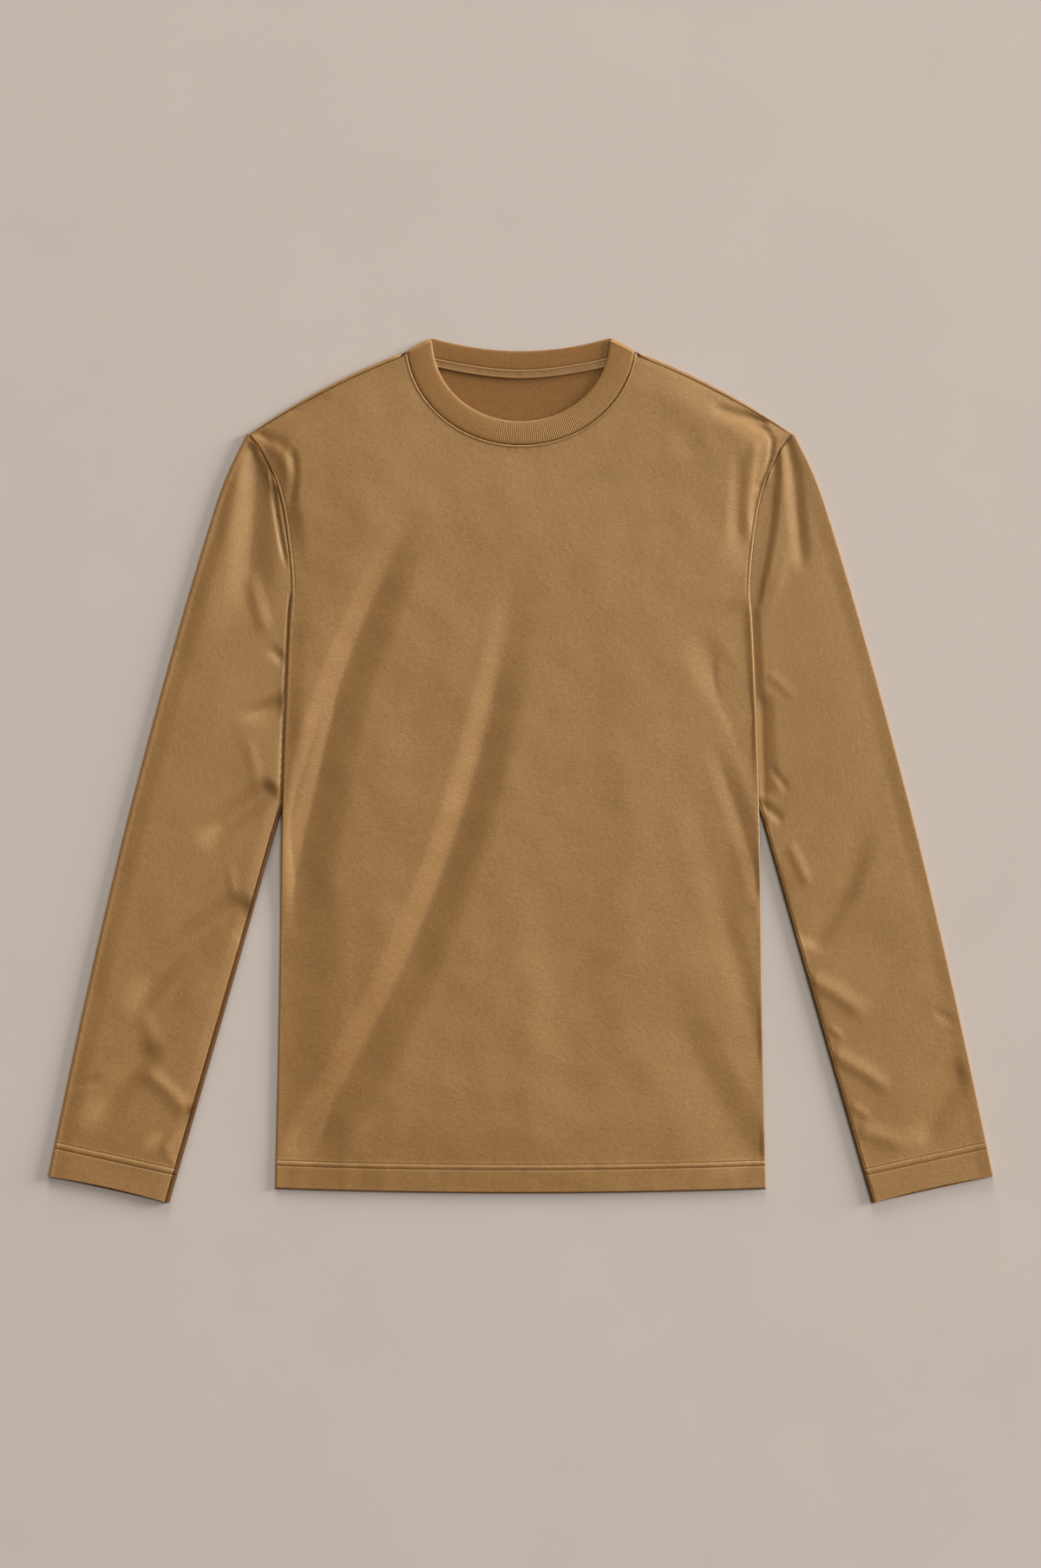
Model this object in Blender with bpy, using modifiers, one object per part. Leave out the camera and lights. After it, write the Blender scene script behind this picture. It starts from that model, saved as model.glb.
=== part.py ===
"""Long-sleeve crew-neck t-shirt, laid out flat with its front up.

Metres. X runs across the shirt, Y from the hem to the neck and Z up from the surface that
it lies on. Each cloth piece is a wall through a grid of points, which are worked out from
the sizes below. "Left" and "right" are the wearer's, so the left sleeve is at +X.
"""

import math

import bmesh
import bpy

# Cloth
CLOTH = 0.0010          # wall of the jersey panels and sleeves
BAND_CLOTH = 0.0018     # the neckband is folded double
SEAM_GAP = 0.0003       # between pieces that are sewn together
FACET_GAP = 0.0006      # the same along a curved edge, which is made of straight chords
LAYER_GAP = 0.0004      # between layers that lie on each other
HEM_RAISE = 0.0005      # a turned hem is this much thicker
HEM_DEPTH = 0.0215

# Body outline
HEM_Y = -0.3567
HEM_BOW = 0.0037        # the hem hangs lower in the middle
NECK_X = 0.0969
NECK_Y = 0.3574
SHOULDER_X = 0.2326
SHOULDER_Y = 0.2871
SHOULDER_BULGE = 0.0053
UNDERARM_Y = 0.1465     # lowest visible point of the armhole

# Half width of the body: side edge, then armhole.  Columns: y, half_width
BODY_EDGE = (
    (-0.3567, 0.2091),
    (-0.2161, 0.2061),
    (-0.0718, 0.2039),
    (0.0281, 0.2013),
    (0.1250, 0.1972),
    (0.1561, 0.1954),
    (0.1998, 0.1993),
    (0.2405, 0.2072),
    (0.2731, 0.2216),
    (0.2871, 0.2326),
)

# Sleeve outline, as distances from the shirt's centre line.  Columns: y, x
SLEEVE_OUTER = (
    (-0.3456, 0.4029),
    (-0.1939, 0.3707),
    (-0.0607, 0.3397),
    (0.0281, 0.3167),
    (0.1169, 0.2923),
    (0.2057, 0.2660),
    (0.2501, 0.2509),
    (0.2871, 0.2332),
)
SLEEVE_INNER = (
    (-0.3685, 0.2995),
    (-0.2000, 0.2508),
    (-0.0607, 0.2113),
    (0.0400, 0.1826),
    (0.1036, 0.1764),
)
CUFF_DEPTH = 0.0235

# Neck: ellipses of the front seam and the front fold edge, about the centre line
FRONT_SEAM = (0.0969, 0.0873, 0.3648)   # half width, depth, y of the centre
FRONT_FOLD = (0.0751, 0.0681, 0.3656)
BACK_SEAM_Y = 0.3413
BACK_SEAM_RISE = 0.0161
BACK_SEAM_POWER = 1.7
BACK_FOLD_Y = 0.3576
TIP_X = 0.0751
TIP_Y = 0.3685
TAPE_WIDTH = 0.0070
TAPE_HALF = 0.0860
RIB_RAISE = 0.0003
FRONT_RIBS = 154
BACK_RIBS = 102

# Heights of the laid-out layers
EDGE_RISE = 0.0010      # the front rises this much over the back at the neck and hem
FRONT_RISE = 0.0021     # and this much in the middle of the body
EDGE_ROLL = 0.020       # the front rolls down to its edges over this width
SLEEVE_GAP = 0.0004     # inside a sleeve that is pressed flat
SLEEVE_RISE = 0.0016    # its upper wall rises this much more where nothing lies on it
TUCK_HEIGHT = 0.0028    # the body's edge lies on the sleeve at this height
TUCK_LEVEL = 0.008      # it stays level for this far past the sleeve's hidden edge
TUCK_SLOPE = 0.020      # and comes down to the surface over this width
BAND_SIDE_Z = 0.0028    # underside of the front half of the neckband at its creases
BAND_MIDDLE_Z = 0.0024

# Folds of the front and the sleeves. Each runs from (x1, y1) to (x2, y2), bowed to the
# right of that way, with soft sides. A fold with a height below zero is a trough.
# Columns: x1, y1, x2, y2, bow, half_width, height
FRONT_FOLDS = (
    (0.0120, 0.1750, -0.1790, -0.3180, -0.0190, 0.0330, -0.0018),
    (-0.0900, 0.2100, -0.1800, 0.0200, -0.0060, 0.0260, -0.0015),
    (-0.1700, 0.0400, -0.1790, -0.0950, 0.0000, 0.0240, -0.0008),
    (-0.2180, 0.2760, -0.1860, 0.1950, -0.0080, 0.0110, -0.0009),
    (-0.2020, 0.2560, -0.1960, 0.1900, -0.0060, 0.0100, 0.0009),
    (0.2120, 0.2880, 0.1990, 0.2230, 0.0060, 0.0110, -0.0010),
    (0.1560, 0.0800, 0.1960, 0.0150, 0.0000, 0.0190, -0.0010),
    (0.1500, -0.1050, 0.2010, -0.3050, 0.0060, 0.0250, -0.0012),
    (0.0650, 0.2300, 0.0400, -0.1400, 0.0060, 0.0300, -0.0005),
    (-0.1450, -0.0500, -0.1150, -0.2000, 0.0000, 0.0320, 0.0007),
)
RIGHT_SLEEVE_FOLDS = (
    (-0.2250, 0.2560, -0.2080, 0.2120, -0.0020, 0.0110, -0.0014),
    (-0.2290, 0.2520, -0.2560, 0.1500, -0.0040, 0.0130, 0.0017),
    (-0.2140, 0.1980, -0.2180, 0.0200, 0.0030, 0.0150, -0.0010),
    (-0.2220, -0.0300, -0.2560, -0.0560, 0.0000, 0.0130, -0.0014),
    (-0.2480, -0.1150, -0.3240, -0.2050, -0.0100, 0.0180, -0.0013),
    (-0.3080, -0.2380, -0.3580, -0.2880, 0.0000, 0.0160, -0.0013),
    (-0.3180, -0.2560, -0.2880, -0.2880, 0.0000, 0.0130, 0.0012),
    (-0.3060, -0.3180, -0.2900, -0.2960, 0.0000, 0.0120, -0.0010),
)
LEFT_SLEEVE_FOLDS = (
    (0.2230, 0.2720, 0.2070, 0.1620, 0.0050, 0.0110, -0.0015),
    (0.2300, 0.2640, 0.2340, 0.1700, 0.0020, 0.0100, 0.0016),
    (0.2390, 0.2620, 0.2420, 0.1880, 0.0000, 0.0090, -0.0010),
    (0.2150, 0.1500, 0.2180, 0.0000, -0.0030, 0.0150, -0.0010),
    (0.2500, -0.1450, 0.2960, -0.0600, 0.0060, 0.0150, -0.0014),
    (0.2520, -0.1800, 0.2900, -0.2030, 0.0000, 0.0120, 0.0012),
    (0.2760, -0.2480, 0.3160, -0.2740, 0.0000, 0.0130, 0.0012),
    (0.3640, -0.2680, 0.3300, -0.3300, 0.0040, 0.0150, -0.0012),
)

# Grid sizes
FRONT_NECK_STEPS = 18
BACK_NECK_STEPS = 8
FRONT_SHOULDER_STEPS = (0.14, 0.28, 0.42, 0.56, 0.70, 0.84, 0.97, 1.0)
BACK_SHOULDER_STEPS = (0.25, 0.50, 0.70, 0.84, 0.91, 0.97, 1.0)
NECK_SHARE_AT_HEM = 0.45
BODY_ROWS = 33
SLEEVE_ROWS = 21
SLEEVE_TOP_STEPS = (0.0, 0.05, 0.16, 0.28, 0.40, 0.52, 0.64, 0.77, 0.88, 0.95, 1.0)
SLEEVE_FLOOR_STEPS = (0.95, 0.77, 0.52, 0.28, 0.05)
SLEEVE_CORNER = 0.77    # share of the sleeve's upper end that is sewn to the armhole
TAPE_STEPS = 16

CARAMEL = (0.300, 0.162, 0.066, 1.0)
RIB_CARAMEL = (0.285, 0.152, 0.061, 1.0)
TAPE_CARAMEL = (0.270, 0.143, 0.057, 1.0)


def between(start, end, share):
    return start + (end - start) * share


def smooth(share):
    """Rise from 0 to 1 with level ends."""
    share = min(max(share, 0.0), 1.0)
    return share * share * (3.0 - 2.0 * share)


def along_table(table, y):
    """Smooth curve through a table's rows, read at y."""
    last = len(table) - 2
    row = 0
    while row < last and y > table[row + 1][0]:
        row += 1

    def slope(index):
        low = max(index - 1, 0)
        high = min(index + 1, len(table) - 1)
        return (table[high][1] - table[low][1]) / (table[high][0] - table[low][0])

    (y0, x0), (y1, x1) = table[row], table[row + 1]
    span = y1 - y0
    t = min(max((y - y0) / span, 0.0), 1.0)
    start = slope(row) * span
    end = slope(row + 1) * span
    return ((1.0 + 2.0 * t) * (1.0 - t) ** 2 * x0 + t * (1.0 - t) ** 2 * start
            + t * t * (3.0 - 2.0 * t) * x1 + t * t * (t - 1.0) * end)


def fold_height(folds, x, y):
    """Sum of the folds' heights at a point."""
    total = 0.0
    for x1, y1, x2, y2, bow, half_width, height in folds:
        run_x = x2 - x1
        run_y = y2 - y1
        length = math.hypot(run_x, run_y)
        along = ((x - x1) * run_x + (y - y1) * run_y) / length ** 2
        if along <= 0.0 or along >= 1.0:
            continue
        across = ((x - x1) * run_y - (y - y1) * run_x) / length
        across -= 4.0 * bow * along * (1.0 - along)
        ends = smooth(3.0 * along) * smooth(3.0 * (1.0 - along))
        total += height * ends * smooth(1.0 - abs(across) / half_width)
    return total


# Body outline

def body_half_width(y):
    return along_table(BODY_EDGE, y)


def hem_y(x):
    share = x / body_half_width(HEM_Y)
    return HEM_Y - HEM_BOW * (1.0 - share * share)


def shoulder_y(x):
    """Height of the shoulder fold, the highest line of the laid-out body."""
    share = (abs(x) - NECK_X) / (SHOULDER_X - NECK_X)
    bulge = 4.0 * SHOULDER_BULGE * share * (1.0 - share)
    return between(NECK_Y, SHOULDER_Y, share) + bulge


def back_seam_y(x):
    return BACK_SEAM_Y + BACK_SEAM_RISE * (abs(x) / NECK_X) ** BACK_SEAM_POWER


def tuck_lift(x, y):
    """Height of the back panel where it lies on the inner side of a sleeve."""
    arm_y = SLEEVE_INNER[-1][0]
    arm_x = SLEEVE_INNER[-1][1]
    if y < arm_y:
        hidden_edge = along_table(SLEEVE_INNER, y)
    else:
        rim_slope = (body_half_width(UNDERARM_Y) - arm_x) / (UNDERARM_Y - arm_y)
        hidden_edge = arm_x + (y - arm_y) * rim_slope
    return TUCK_HEIGHT * smooth(1.0 + (abs(x) - hidden_edge + TUCK_LEVEL) / TUCK_SLOPE)


def body_rows():
    """Shares of the height of the body: the hem's rows, then finer ones towards the top."""
    height = SHOULDER_Y - HEM_Y
    hem = HEM_DEPTH / height
    rows = [0.0, 0.5 * hem, hem, hem + 0.003 / height]
    first = rows[-1]
    for row in range(1, BODY_ROWS - 3 + 1):
        share = row / (BODY_ROWS - 3)
        rows.append(between(first, 1.0, share * (1.35 - 0.35 * share)))
    return rows


def body_columns(neck_steps, shoulder_steps, neck_top):
    """Columns from -X to +X. Each is (share of the hem's half width, x and y at the top)."""
    half = []
    for step in range(neck_steps // 2 + 1):
        share = 2.0 * step / neck_steps
        half.append((NECK_SHARE_AT_HEM * share,) + neck_top(share))
    for share in shoulder_steps:
        half.append((between(NECK_SHARE_AT_HEM, 1.0, share),) + shoulder_top(share))
    left = [(-hem_share, -x, y) for hem_share, x, y in half[:0:-1]]
    return left + half


def body_point(column, corner, row):
    """Place on a panel: columns run up from the hem, and the outer ones follow the edge.

    corner is the outermost column, whose top is the shoulder point.
    """
    hem_share, top_x, top_y = column
    edge_y = between(HEM_Y, corner[2], row)
    hem_half = body_half_width(HEM_Y)
    bend = body_half_width(edge_y) - between(hem_half, corner[1], row)
    x = between(hem_share * hem_half, top_x, row) + bend * hem_share ** 3
    y = between(hem_y(x), top_y, row)
    return x, y


# Solids

def add_piece(name, grid, colour, welded=False):
    """Object whose mesh is a grid of points, given as a list of rows."""
    rows = len(grid) - 1
    columns = len(grid[0]) - 1
    mesh = bmesh.new()
    bmesh.ops.create_grid(mesh, x_segments=columns, y_segments=rows, size=0.5)
    for vert in mesh.verts:
        column = round((vert.co.x + 0.5) * columns)
        row = round((vert.co.y + 0.5) * rows)
        vert.co = grid[row][column]
    if welded:
        bmesh.ops.remove_doubles(mesh, verts=mesh.verts, dist=0.00001)
    data = bpy.data.meshes.new(name)
    mesh.to_mesh(data)
    mesh.free()
    piece = bpy.data.objects.new(name, data)
    shirt.objects.link(piece)

    material = bpy.data.materials.new(name)
    material.use_nodes = True
    shader = material.node_tree.nodes["Principled BSDF"]
    shader.inputs["Base Color"].default_value = colour
    shader.inputs["Roughness"].default_value = 0.75
    shader.inputs["Metallic"].default_value = 0.0
    data.materials.append(material)
    return piece


def thicken(piece, raised=()):
    """Wall: the grid is its inner side, and the outer side is the grid moved out.

    raised holds the points of the grid where a turned hem makes the wall thicker.
    """
    wall = piece.modifiers.new("Wall", "SOLIDIFY")
    wall.offset = 1.0
    wall.thickness = CLOTH
    if raised:
        group = piece.vertex_groups.new(name="hem")
        group.add(list(raised), 1.0, "REPLACE")
        wall.vertex_group = group.name
        wall.thickness = CLOTH + HEM_RAISE
        wall.thickness_vertex_group = CLOTH / (CLOTH + HEM_RAISE)


def front_neck_top(share):
    """Front neckline, from the middle to the shoulder seam, outside the band's seam."""
    half_width, depth, centre_y = FRONT_SEAM
    angle = share * math.acos((centre_y - NECK_Y) / depth)
    return ((half_width + FACET_GAP) * math.sin(angle),
            centre_y - (depth + FACET_GAP) * math.cos(angle))


def back_neck_top(share):
    x = (NECK_X + FACET_GAP) * share
    return x, back_seam_y(x) - SEAM_GAP


def shoulder_top(share):
    x = between(NECK_X + FACET_GAP, SHOULDER_X, share)
    return x, shoulder_y(x)


def front_height(x, y):
    """Lower side of the front panel: it lies on the back and rolls down to its edges."""
    half_width, depth, centre_y = FRONT_SEAM
    from_neck = (math.hypot(x / half_width, (y - centre_y) / depth) - 1.0) * depth
    from_edge = smooth((body_half_width(y) - abs(x)) / EDGE_ROLL)
    from_shoulder = smooth((shoulder_y(max(abs(x), NECK_X)) - y) / EDGE_ROLL)
    inside = smooth(from_neck / EDGE_ROLL) * smooth((y - HEM_Y) / (2.0 * EDGE_ROLL))
    level = between(EDGE_RISE, FRONT_RISE, inside)
    level += fold_height(FRONT_FOLDS, x, y) * smooth((y - HEM_Y) / EDGE_ROLL)
    return (CLOTH + LAYER_GAP + tuck_lift(x, y)
            + max(level, 0.0) * from_edge * from_shoulder)


def make_front():
    columns = body_columns(FRONT_NECK_STEPS, FRONT_SHOULDER_STEPS, front_neck_top)
    grid = []
    for row in body_rows():
        line = []
        for column in columns:
            x, y = body_point(column, columns[-1], row)
            line.append((x, y, front_height(x, y)))
        grid.append(line)
    front = add_piece("front", grid, CARAMEL)
    thicken(front, [vert.index for vert in front.data.vertices
                    if vert.co.y - hem_y(vert.co.x) < HEM_DEPTH + SEAM_GAP])


def make_back():
    """The back lies flat on the surface, apart from where it lies on the sleeves."""
    columns = body_columns(BACK_NECK_STEPS, BACK_SHOULDER_STEPS, back_neck_top)
    grid = []
    for row in body_rows():
        line = []
        for column in columns:
            x, y = body_point(column, columns[-1], row)
            line.append((x, y, tuck_lift(x, y)))
        grid.append(line)
    thicken(add_piece("back", grid, CARAMEL))


def sleeve_end(share):
    """Upper end of a sleeve: down the armhole seam, then in under the body's edge."""
    arm_y, arm_x = SLEEVE_INNER[-1]
    if share < SLEEVE_CORNER:
        y = between(SHOULDER_Y, UNDERARM_Y, share / SLEEVE_CORNER)
        return body_half_width(y) + FACET_GAP, y
    along = (share - SLEEVE_CORNER) / (1.0 - SLEEVE_CORNER)
    corner_x = body_half_width(UNDERARM_Y) + FACET_GAP
    return between(corner_x, arm_x, along), between(UNDERARM_Y, arm_y, along)


def sleeve_place(along, across):
    """Place on a sleeve: 0 to 1 from cuff to armhole, and from outer to inner edge."""
    cuff_outer_y, cuff_outer_x = SLEEVE_OUTER[0]
    cuff_inner_y, cuff_inner_x = SLEEVE_INNER[0]
    outer_y = between(cuff_outer_y, SHOULDER_Y, along)
    inner_y = between(cuff_inner_y, SLEEVE_INNER[-1][0], along)
    outer = (along_table(SLEEVE_OUTER, outer_y), outer_y)
    inner = (along_table(SLEEVE_INNER, inner_y), inner_y)
    cuff = (between(cuff_outer_x, cuff_inner_x, across),
            between(cuff_outer_y, cuff_inner_y, across))
    end = sleeve_end(across)
    end_outer = sleeve_end(0.0)
    end_inner = sleeve_end(1.0)
    place = []
    for axis in range(2):
        corners = between(between((cuff_outer_x, cuff_outer_y)[axis],
                                  (cuff_inner_x, cuff_inner_y)[axis], across),
                          between(end_outer[axis], end_inner[axis], across), along)
        place.append(between(outer[axis], inner[axis], across)
                     + between(cuff[axis], end[axis], along) - corners)
    return place


def sleeve_rise(x, y, from_outer, from_inner, folds, side):
    """How far a sleeve's upper wall stands over its flattened height."""
    from_body = x - body_half_width(y)
    if y > UNDERARM_Y - EDGE_ROLL:
        from_inner = from_body
    free = smooth(from_outer / EDGE_ROLL) * smooth(min(from_inner, from_body) / EDGE_ROLL)
    return max(SLEEVE_RISE + fold_height(folds, side * x, y), 0.0) * free


def from_cuff(point):
    """Distance of a point from the line of the cuff's edge."""
    outer_y, outer_x = SLEEVE_OUTER[0]
    inner_y, inner_x = SLEEVE_INNER[0]
    run = math.hypot(outer_x - inner_x, outer_y - inner_y)
    return ((outer_x - inner_x) * (point.y - inner_y)
            - (outer_y - inner_y) * (abs(point.x) - inner_x)) / run


def make_sleeve(name, side, folds):
    """Flattened tube. side is -1 for the wearer's right sleeve and 1 for the left one."""
    cuff = CUFF_DEPTH / (SHOULDER_Y - SLEEVE_OUTER[0][0])
    rows = [0.0, cuff, cuff + 0.005]
    rows += [between(rows[-1], 1.0, (step / (SLEEVE_ROWS - 2)) ** 0.85)
             for step in range(1, SLEEVE_ROWS - 1)]
    grid = []
    for along in rows:
        outer_edge = sleeve_place(along, 0.0)
        inner_edge = sleeve_place(along, 1.0)
        width = math.hypot(inner_edge[0] - outer_edge[0], inner_edge[1] - outer_edge[1])
        inset = CLOTH / width
        line = []
        for across in SLEEVE_TOP_STEPS:
            x, y = sleeve_place(along, between(inset, 1.0 - inset, across))
            height = CLOTH + 0.5 * SLEEVE_GAP
            if 0.0 < across < 1.0:
                rise = sleeve_rise(x, y, across * width, (1.0 - across) * width, folds, side)
                height = CLOTH + SLEEVE_GAP + rise
            line.append((side * x, y, height))
        for across in SLEEVE_FLOOR_STEPS:
            x, y = sleeve_place(along, between(inset, 1.0 - inset, across))
            line.append((side * x, y, CLOTH))
        line.append(line[0])
        grid.append(line if side < 0 else line[::-1])
    sleeve = add_piece(name, grid, CARAMEL, welded=True)
    thicken(sleeve, [vert.index for vert in sleeve.data.vertices
                     if vert.co.z > CLOTH + 0.6 * SLEEVE_GAP
                     and from_cuff(vert.co) < CUFF_DEPTH + SEAM_GAP])


def band_front(share):
    """Points on the seam and on the fold edge of the band's front half."""
    seam_width, seam_depth, seam_y = FRONT_SEAM
    fold_width, fold_depth, fold_y = FRONT_FOLD
    seam_angle = share * math.acos((seam_y - NECK_Y) / seam_depth)
    fold_angle = share * math.acos((fold_y - TIP_Y) / fold_depth)
    return ((seam_width * math.sin(seam_angle), seam_y - seam_depth * math.cos(seam_angle)),
            (fold_width * math.sin(fold_angle), fold_y - fold_depth * math.cos(fold_angle)))


def band_back(share):
    """Points on the seam and on the fold edge of the band's back half."""
    seam_x = NECK_X * share
    fold_x = seam_x - (NECK_X - TIP_X) * share ** 3
    return ((seam_x, back_seam_y(seam_x)),
            (fold_x, BACK_FOLD_Y + (TIP_Y - BACK_FOLD_Y) * (fold_x / TIP_X) ** 2))


def band_section(seam, fold, floor_z, top_z, inner_is_floor):
    """Section of the folded ring. Its inner side is set in, to turn inside the creases."""
    inset = 1.0 - BAND_CLOTH / NECK_X
    floor_scale = inset if inner_is_floor else 1.0
    top_scale = 1.0 if inner_is_floor else inset
    floor_points = [(seam[0] * floor_scale, seam[1], floor_z),
                    (fold[0] * floor_scale, fold[1], floor_z)]
    top_points = [(seam[0] * top_scale, seam[1], top_z),
                  (fold[0] * top_scale, fold[1], top_z)]
    if inner_is_floor:
        return floor_points + top_points[::-1]
    return top_points + floor_points[::-1]


def make_neckband():
    """Ribbed ring, folded flat at two creases: one half lies on the front, one on the back.

    The ribs stand on the side that shows: outside on the front half, inside on the back.
    """
    sections = []
    for column in range(2 * FRONT_RIBS + 1):
        share = column / FRONT_RIBS - 1.0
        floor_z = between(BAND_MIDDLE_Z, BAND_SIDE_Z, abs(share) ** 3)
        top_z = floor_z + BAND_CLOTH + (RIB_RAISE if column % 2 else 0.0)
        if abs(share) == 1.0:
            floor_z = 0.5 * (BAND_SIDE_Z + BAND_CLOTH)
            top_z = floor_z
        sections.append(band_section(*band_front(share), floor_z, top_z, True))
    for column in range(1, 2 * BACK_RIBS):
        share = 1.0 - column / BACK_RIBS
        top_z = BAND_CLOTH + (RIB_RAISE if column % 2 else 0.0)
        sections.append(band_section(*band_back(share), 0.0, top_z, False))
    sections.append(sections[0])
    grid = [section + section[:1] for section in sections]
    add_piece("neckband", grid, RIB_CARAMEL, welded=True)


def make_neck_tape():
    """Tape on the inside of the back panel, along the neck seam."""
    upper = []
    lower = []
    for step in range(TAPE_STEPS + 1):
        x = TAPE_HALF * (2.0 * step / TAPE_STEPS - 1.0)
        y = back_seam_y(x) - 2.0 * SEAM_GAP
        upper.append((x, y, CLOTH + SEAM_GAP))
        lower.append((x, y - TAPE_WIDTH, CLOTH + SEAM_GAP))
    thicken(add_piece("neck_tape", [lower, upper], TAPE_CARAMEL))


for old in list(bpy.data.objects):
    bpy.data.objects.remove(old, do_unlink=True)
shirt = bpy.data.collections.new("long_sleeve_t_shirt")
bpy.context.scene.collection.children.link(shirt)

make_back()
make_front()
make_sleeve("sleeve_right", -1, RIGHT_SLEEVE_FOLDS)
make_sleeve("sleeve_left", 1, LEFT_SLEEVE_FOLDS)
make_neckband()
make_neck_tape()
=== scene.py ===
# Long-sleeve crew-neck t-shirt, laid out flat with its front up. Metres: X runs across the
# shirt, Y from the hem to the neck and Z up from the surface. Left and right are the wearer's.
# Tables of creases and of grid lines are in millimetres.
import math

import bpy
import numpy as np
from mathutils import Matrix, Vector, noise


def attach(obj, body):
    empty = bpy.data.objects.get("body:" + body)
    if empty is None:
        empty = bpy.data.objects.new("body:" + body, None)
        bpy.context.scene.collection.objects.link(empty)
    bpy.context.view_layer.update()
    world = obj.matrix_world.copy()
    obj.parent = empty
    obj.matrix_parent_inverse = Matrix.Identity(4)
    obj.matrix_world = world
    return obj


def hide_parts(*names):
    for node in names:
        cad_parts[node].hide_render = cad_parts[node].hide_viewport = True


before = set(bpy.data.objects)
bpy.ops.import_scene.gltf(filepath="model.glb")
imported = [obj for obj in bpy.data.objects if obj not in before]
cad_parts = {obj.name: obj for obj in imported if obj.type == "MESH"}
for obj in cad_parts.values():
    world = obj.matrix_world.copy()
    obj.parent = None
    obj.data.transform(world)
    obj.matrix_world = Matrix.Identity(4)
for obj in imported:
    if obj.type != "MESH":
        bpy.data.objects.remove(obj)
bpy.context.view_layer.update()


# ---- Back panel ----------------------------------------------------------------------------
# One piece of mid-weight cotton jersey. It lies flat on the surface, but for its sides, which
# rest on the sleeves, and it comes over the shoulder folds to seams just down the front.

MM = 0.001
CLOTH = 0.9 * MM
HEM_CLOTH = 1.25 * MM        # a turned hem is double
HEM_TURN = 22.0 * MM
HEM_SEAMS = (20.0 * MM, 24.4 * MM)
DITCH = 0.9 * MM             # half width of the ditch along a row of stitches
UNDER_DITCH = 0.3 * MM       # its depth in a side that lies on the floor
SEAM_GAP = 0.12 * MM
SHARP_EDGE = 55              # degrees, past which an edge of the cloth doesn't look rounded

HEM_Y = -0.3567              # the hem at the side seams
HEM_BOW = 0.0037             # it hangs lower in the middle
NECK_X = 0.0969              # the shoulder, from the neckband
NECK_Y = 0.3574
SHOULDER_X = 0.2326          # to the armhole
SHOULDER_Y = 0.2871
SHOULDER_BULGE = 0.0053
UNDERARM_Y = 0.1465          # lowest visible point of the armhole
NECK_SHARE_AT_HEM = 0.45     # the columns below the neck take up this share of the hem
BODY_EDGE = (                # y, half width of the body
    (-0.3567, 0.2091),
    (-0.2161, 0.2061),
    (-0.0718, 0.2039),
    (0.0281, 0.2013),
    (0.1250, 0.1972),
    (0.1561, 0.1954),
    (0.1998, 0.1993),
    (0.2405, 0.2072),
    (0.2731, 0.2216),
    (0.2871, 0.2326),
)
SLEEVE_INNER = (             # y, x of a sleeve's inner edge
    (-0.3685, 0.2995),
    (-0.2000, 0.2508),
    (-0.0607, 0.2113),
    (0.0400, 0.1826),
    (0.1036, 0.1764),
)
BACK_SEAM_Y = 0.3413         # the back neck seam in the middle
BACK_SEAM_RISE = 0.0161      # and how far it rises to its ends
BACK_SEAM_POWER = 1.7

TUCK_HEIGHT = 2.8 * MM       # the body's edge lies on the sleeve at this height
TUCK_LEVEL = 0.008           # it stays level past the sleeve's edge
TUCK_SLOPE = 0.020           # and comes down to the floor over this width
FOLD_AT_NECK = 4.4 * MM      # height of the shoulder fold
FOLD_AT_SLEEVE = 2.9 * MM
WRAP_AT_NECK = 3.0 * MM      # the back panel shows this far down the front
WRAP_AT_SLEEVE = 1.5 * MM
FOLD_STEPS = 10

BACK_ROWS = 92
BACK_HEM_ROWS = (0, 0.3, 0.9, 2, 5, 10, 15, 19.2, 20, 20.8, 23.6, 24.4, 25.2, 28)
BACK_TOP_ROWS = (12, 8, 5, 3, 1.5, 0.7, 0.3, 0)


def between(start, end, share):
    return start + (end - start) * share


def smooth(share):
    """Rise from 0 to 1 with level ends."""
    share = np.clip(share, 0.0, 1.0)
    return share * share * (3.0 - 2.0 * share)


def bump(place, centre, half_width):
    """Soft ridge of height 1."""
    return smooth(1.0 - np.abs(place - centre) / half_width)


def along_table(table, at):
    """Smooth curve through a table's rows, each a position and a value."""
    places, values = np.array(table).T
    rows = np.arange(len(places))
    high = np.minimum(rows + 1, rows[-1])
    low = np.maximum(rows - 1, 0)
    slopes = (values[high] - values[low]) / (places[high] - places[low])
    row = np.clip(np.searchsorted(places, at) - 1, 0, len(places) - 2)
    span = places[row + 1] - places[row]
    t = np.clip((at - places[row]) / span, 0.0, 1.0)
    return ((1.0 + 2.0 * t) * (1.0 - t) ** 2 * values[row]
            + t * (1.0 - t) ** 2 * span * slopes[row]
            + t * t * (3.0 - 2.0 * t) * values[row + 1]
            + t * t * (t - 1.0) * span * slopes[row + 1])


def body_half_width(y):
    return along_table(BODY_EDGE, y)


def hem_y(x):
    share = x / body_half_width(HEM_Y)
    return HEM_Y - HEM_BOW * (1.0 - share * share)


def shoulder_share(x):
    return np.clip((np.abs(x) - NECK_X) / (SHOULDER_X - NECK_X), 0.0, 1.0)


def shoulder_y(x):
    share = shoulder_share(x)
    return between(NECK_Y, SHOULDER_Y, share) + 4.0 * SHOULDER_BULGE * share * (1.0 - share)


def shoulder_fold(x):
    """Height of the rolled fold along the top of the shoulder."""
    return between(FOLD_AT_NECK, FOLD_AT_SLEEVE, shoulder_share(x))


def shoulder_seam_y(x):
    return shoulder_y(x) - between(WRAP_AT_NECK, WRAP_AT_SLEEVE, shoulder_share(x) ** 3)


def back_seam_y(x):
    return BACK_SEAM_Y + BACK_SEAM_RISE * (np.abs(x) / NECK_X) ** BACK_SEAM_POWER


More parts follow.
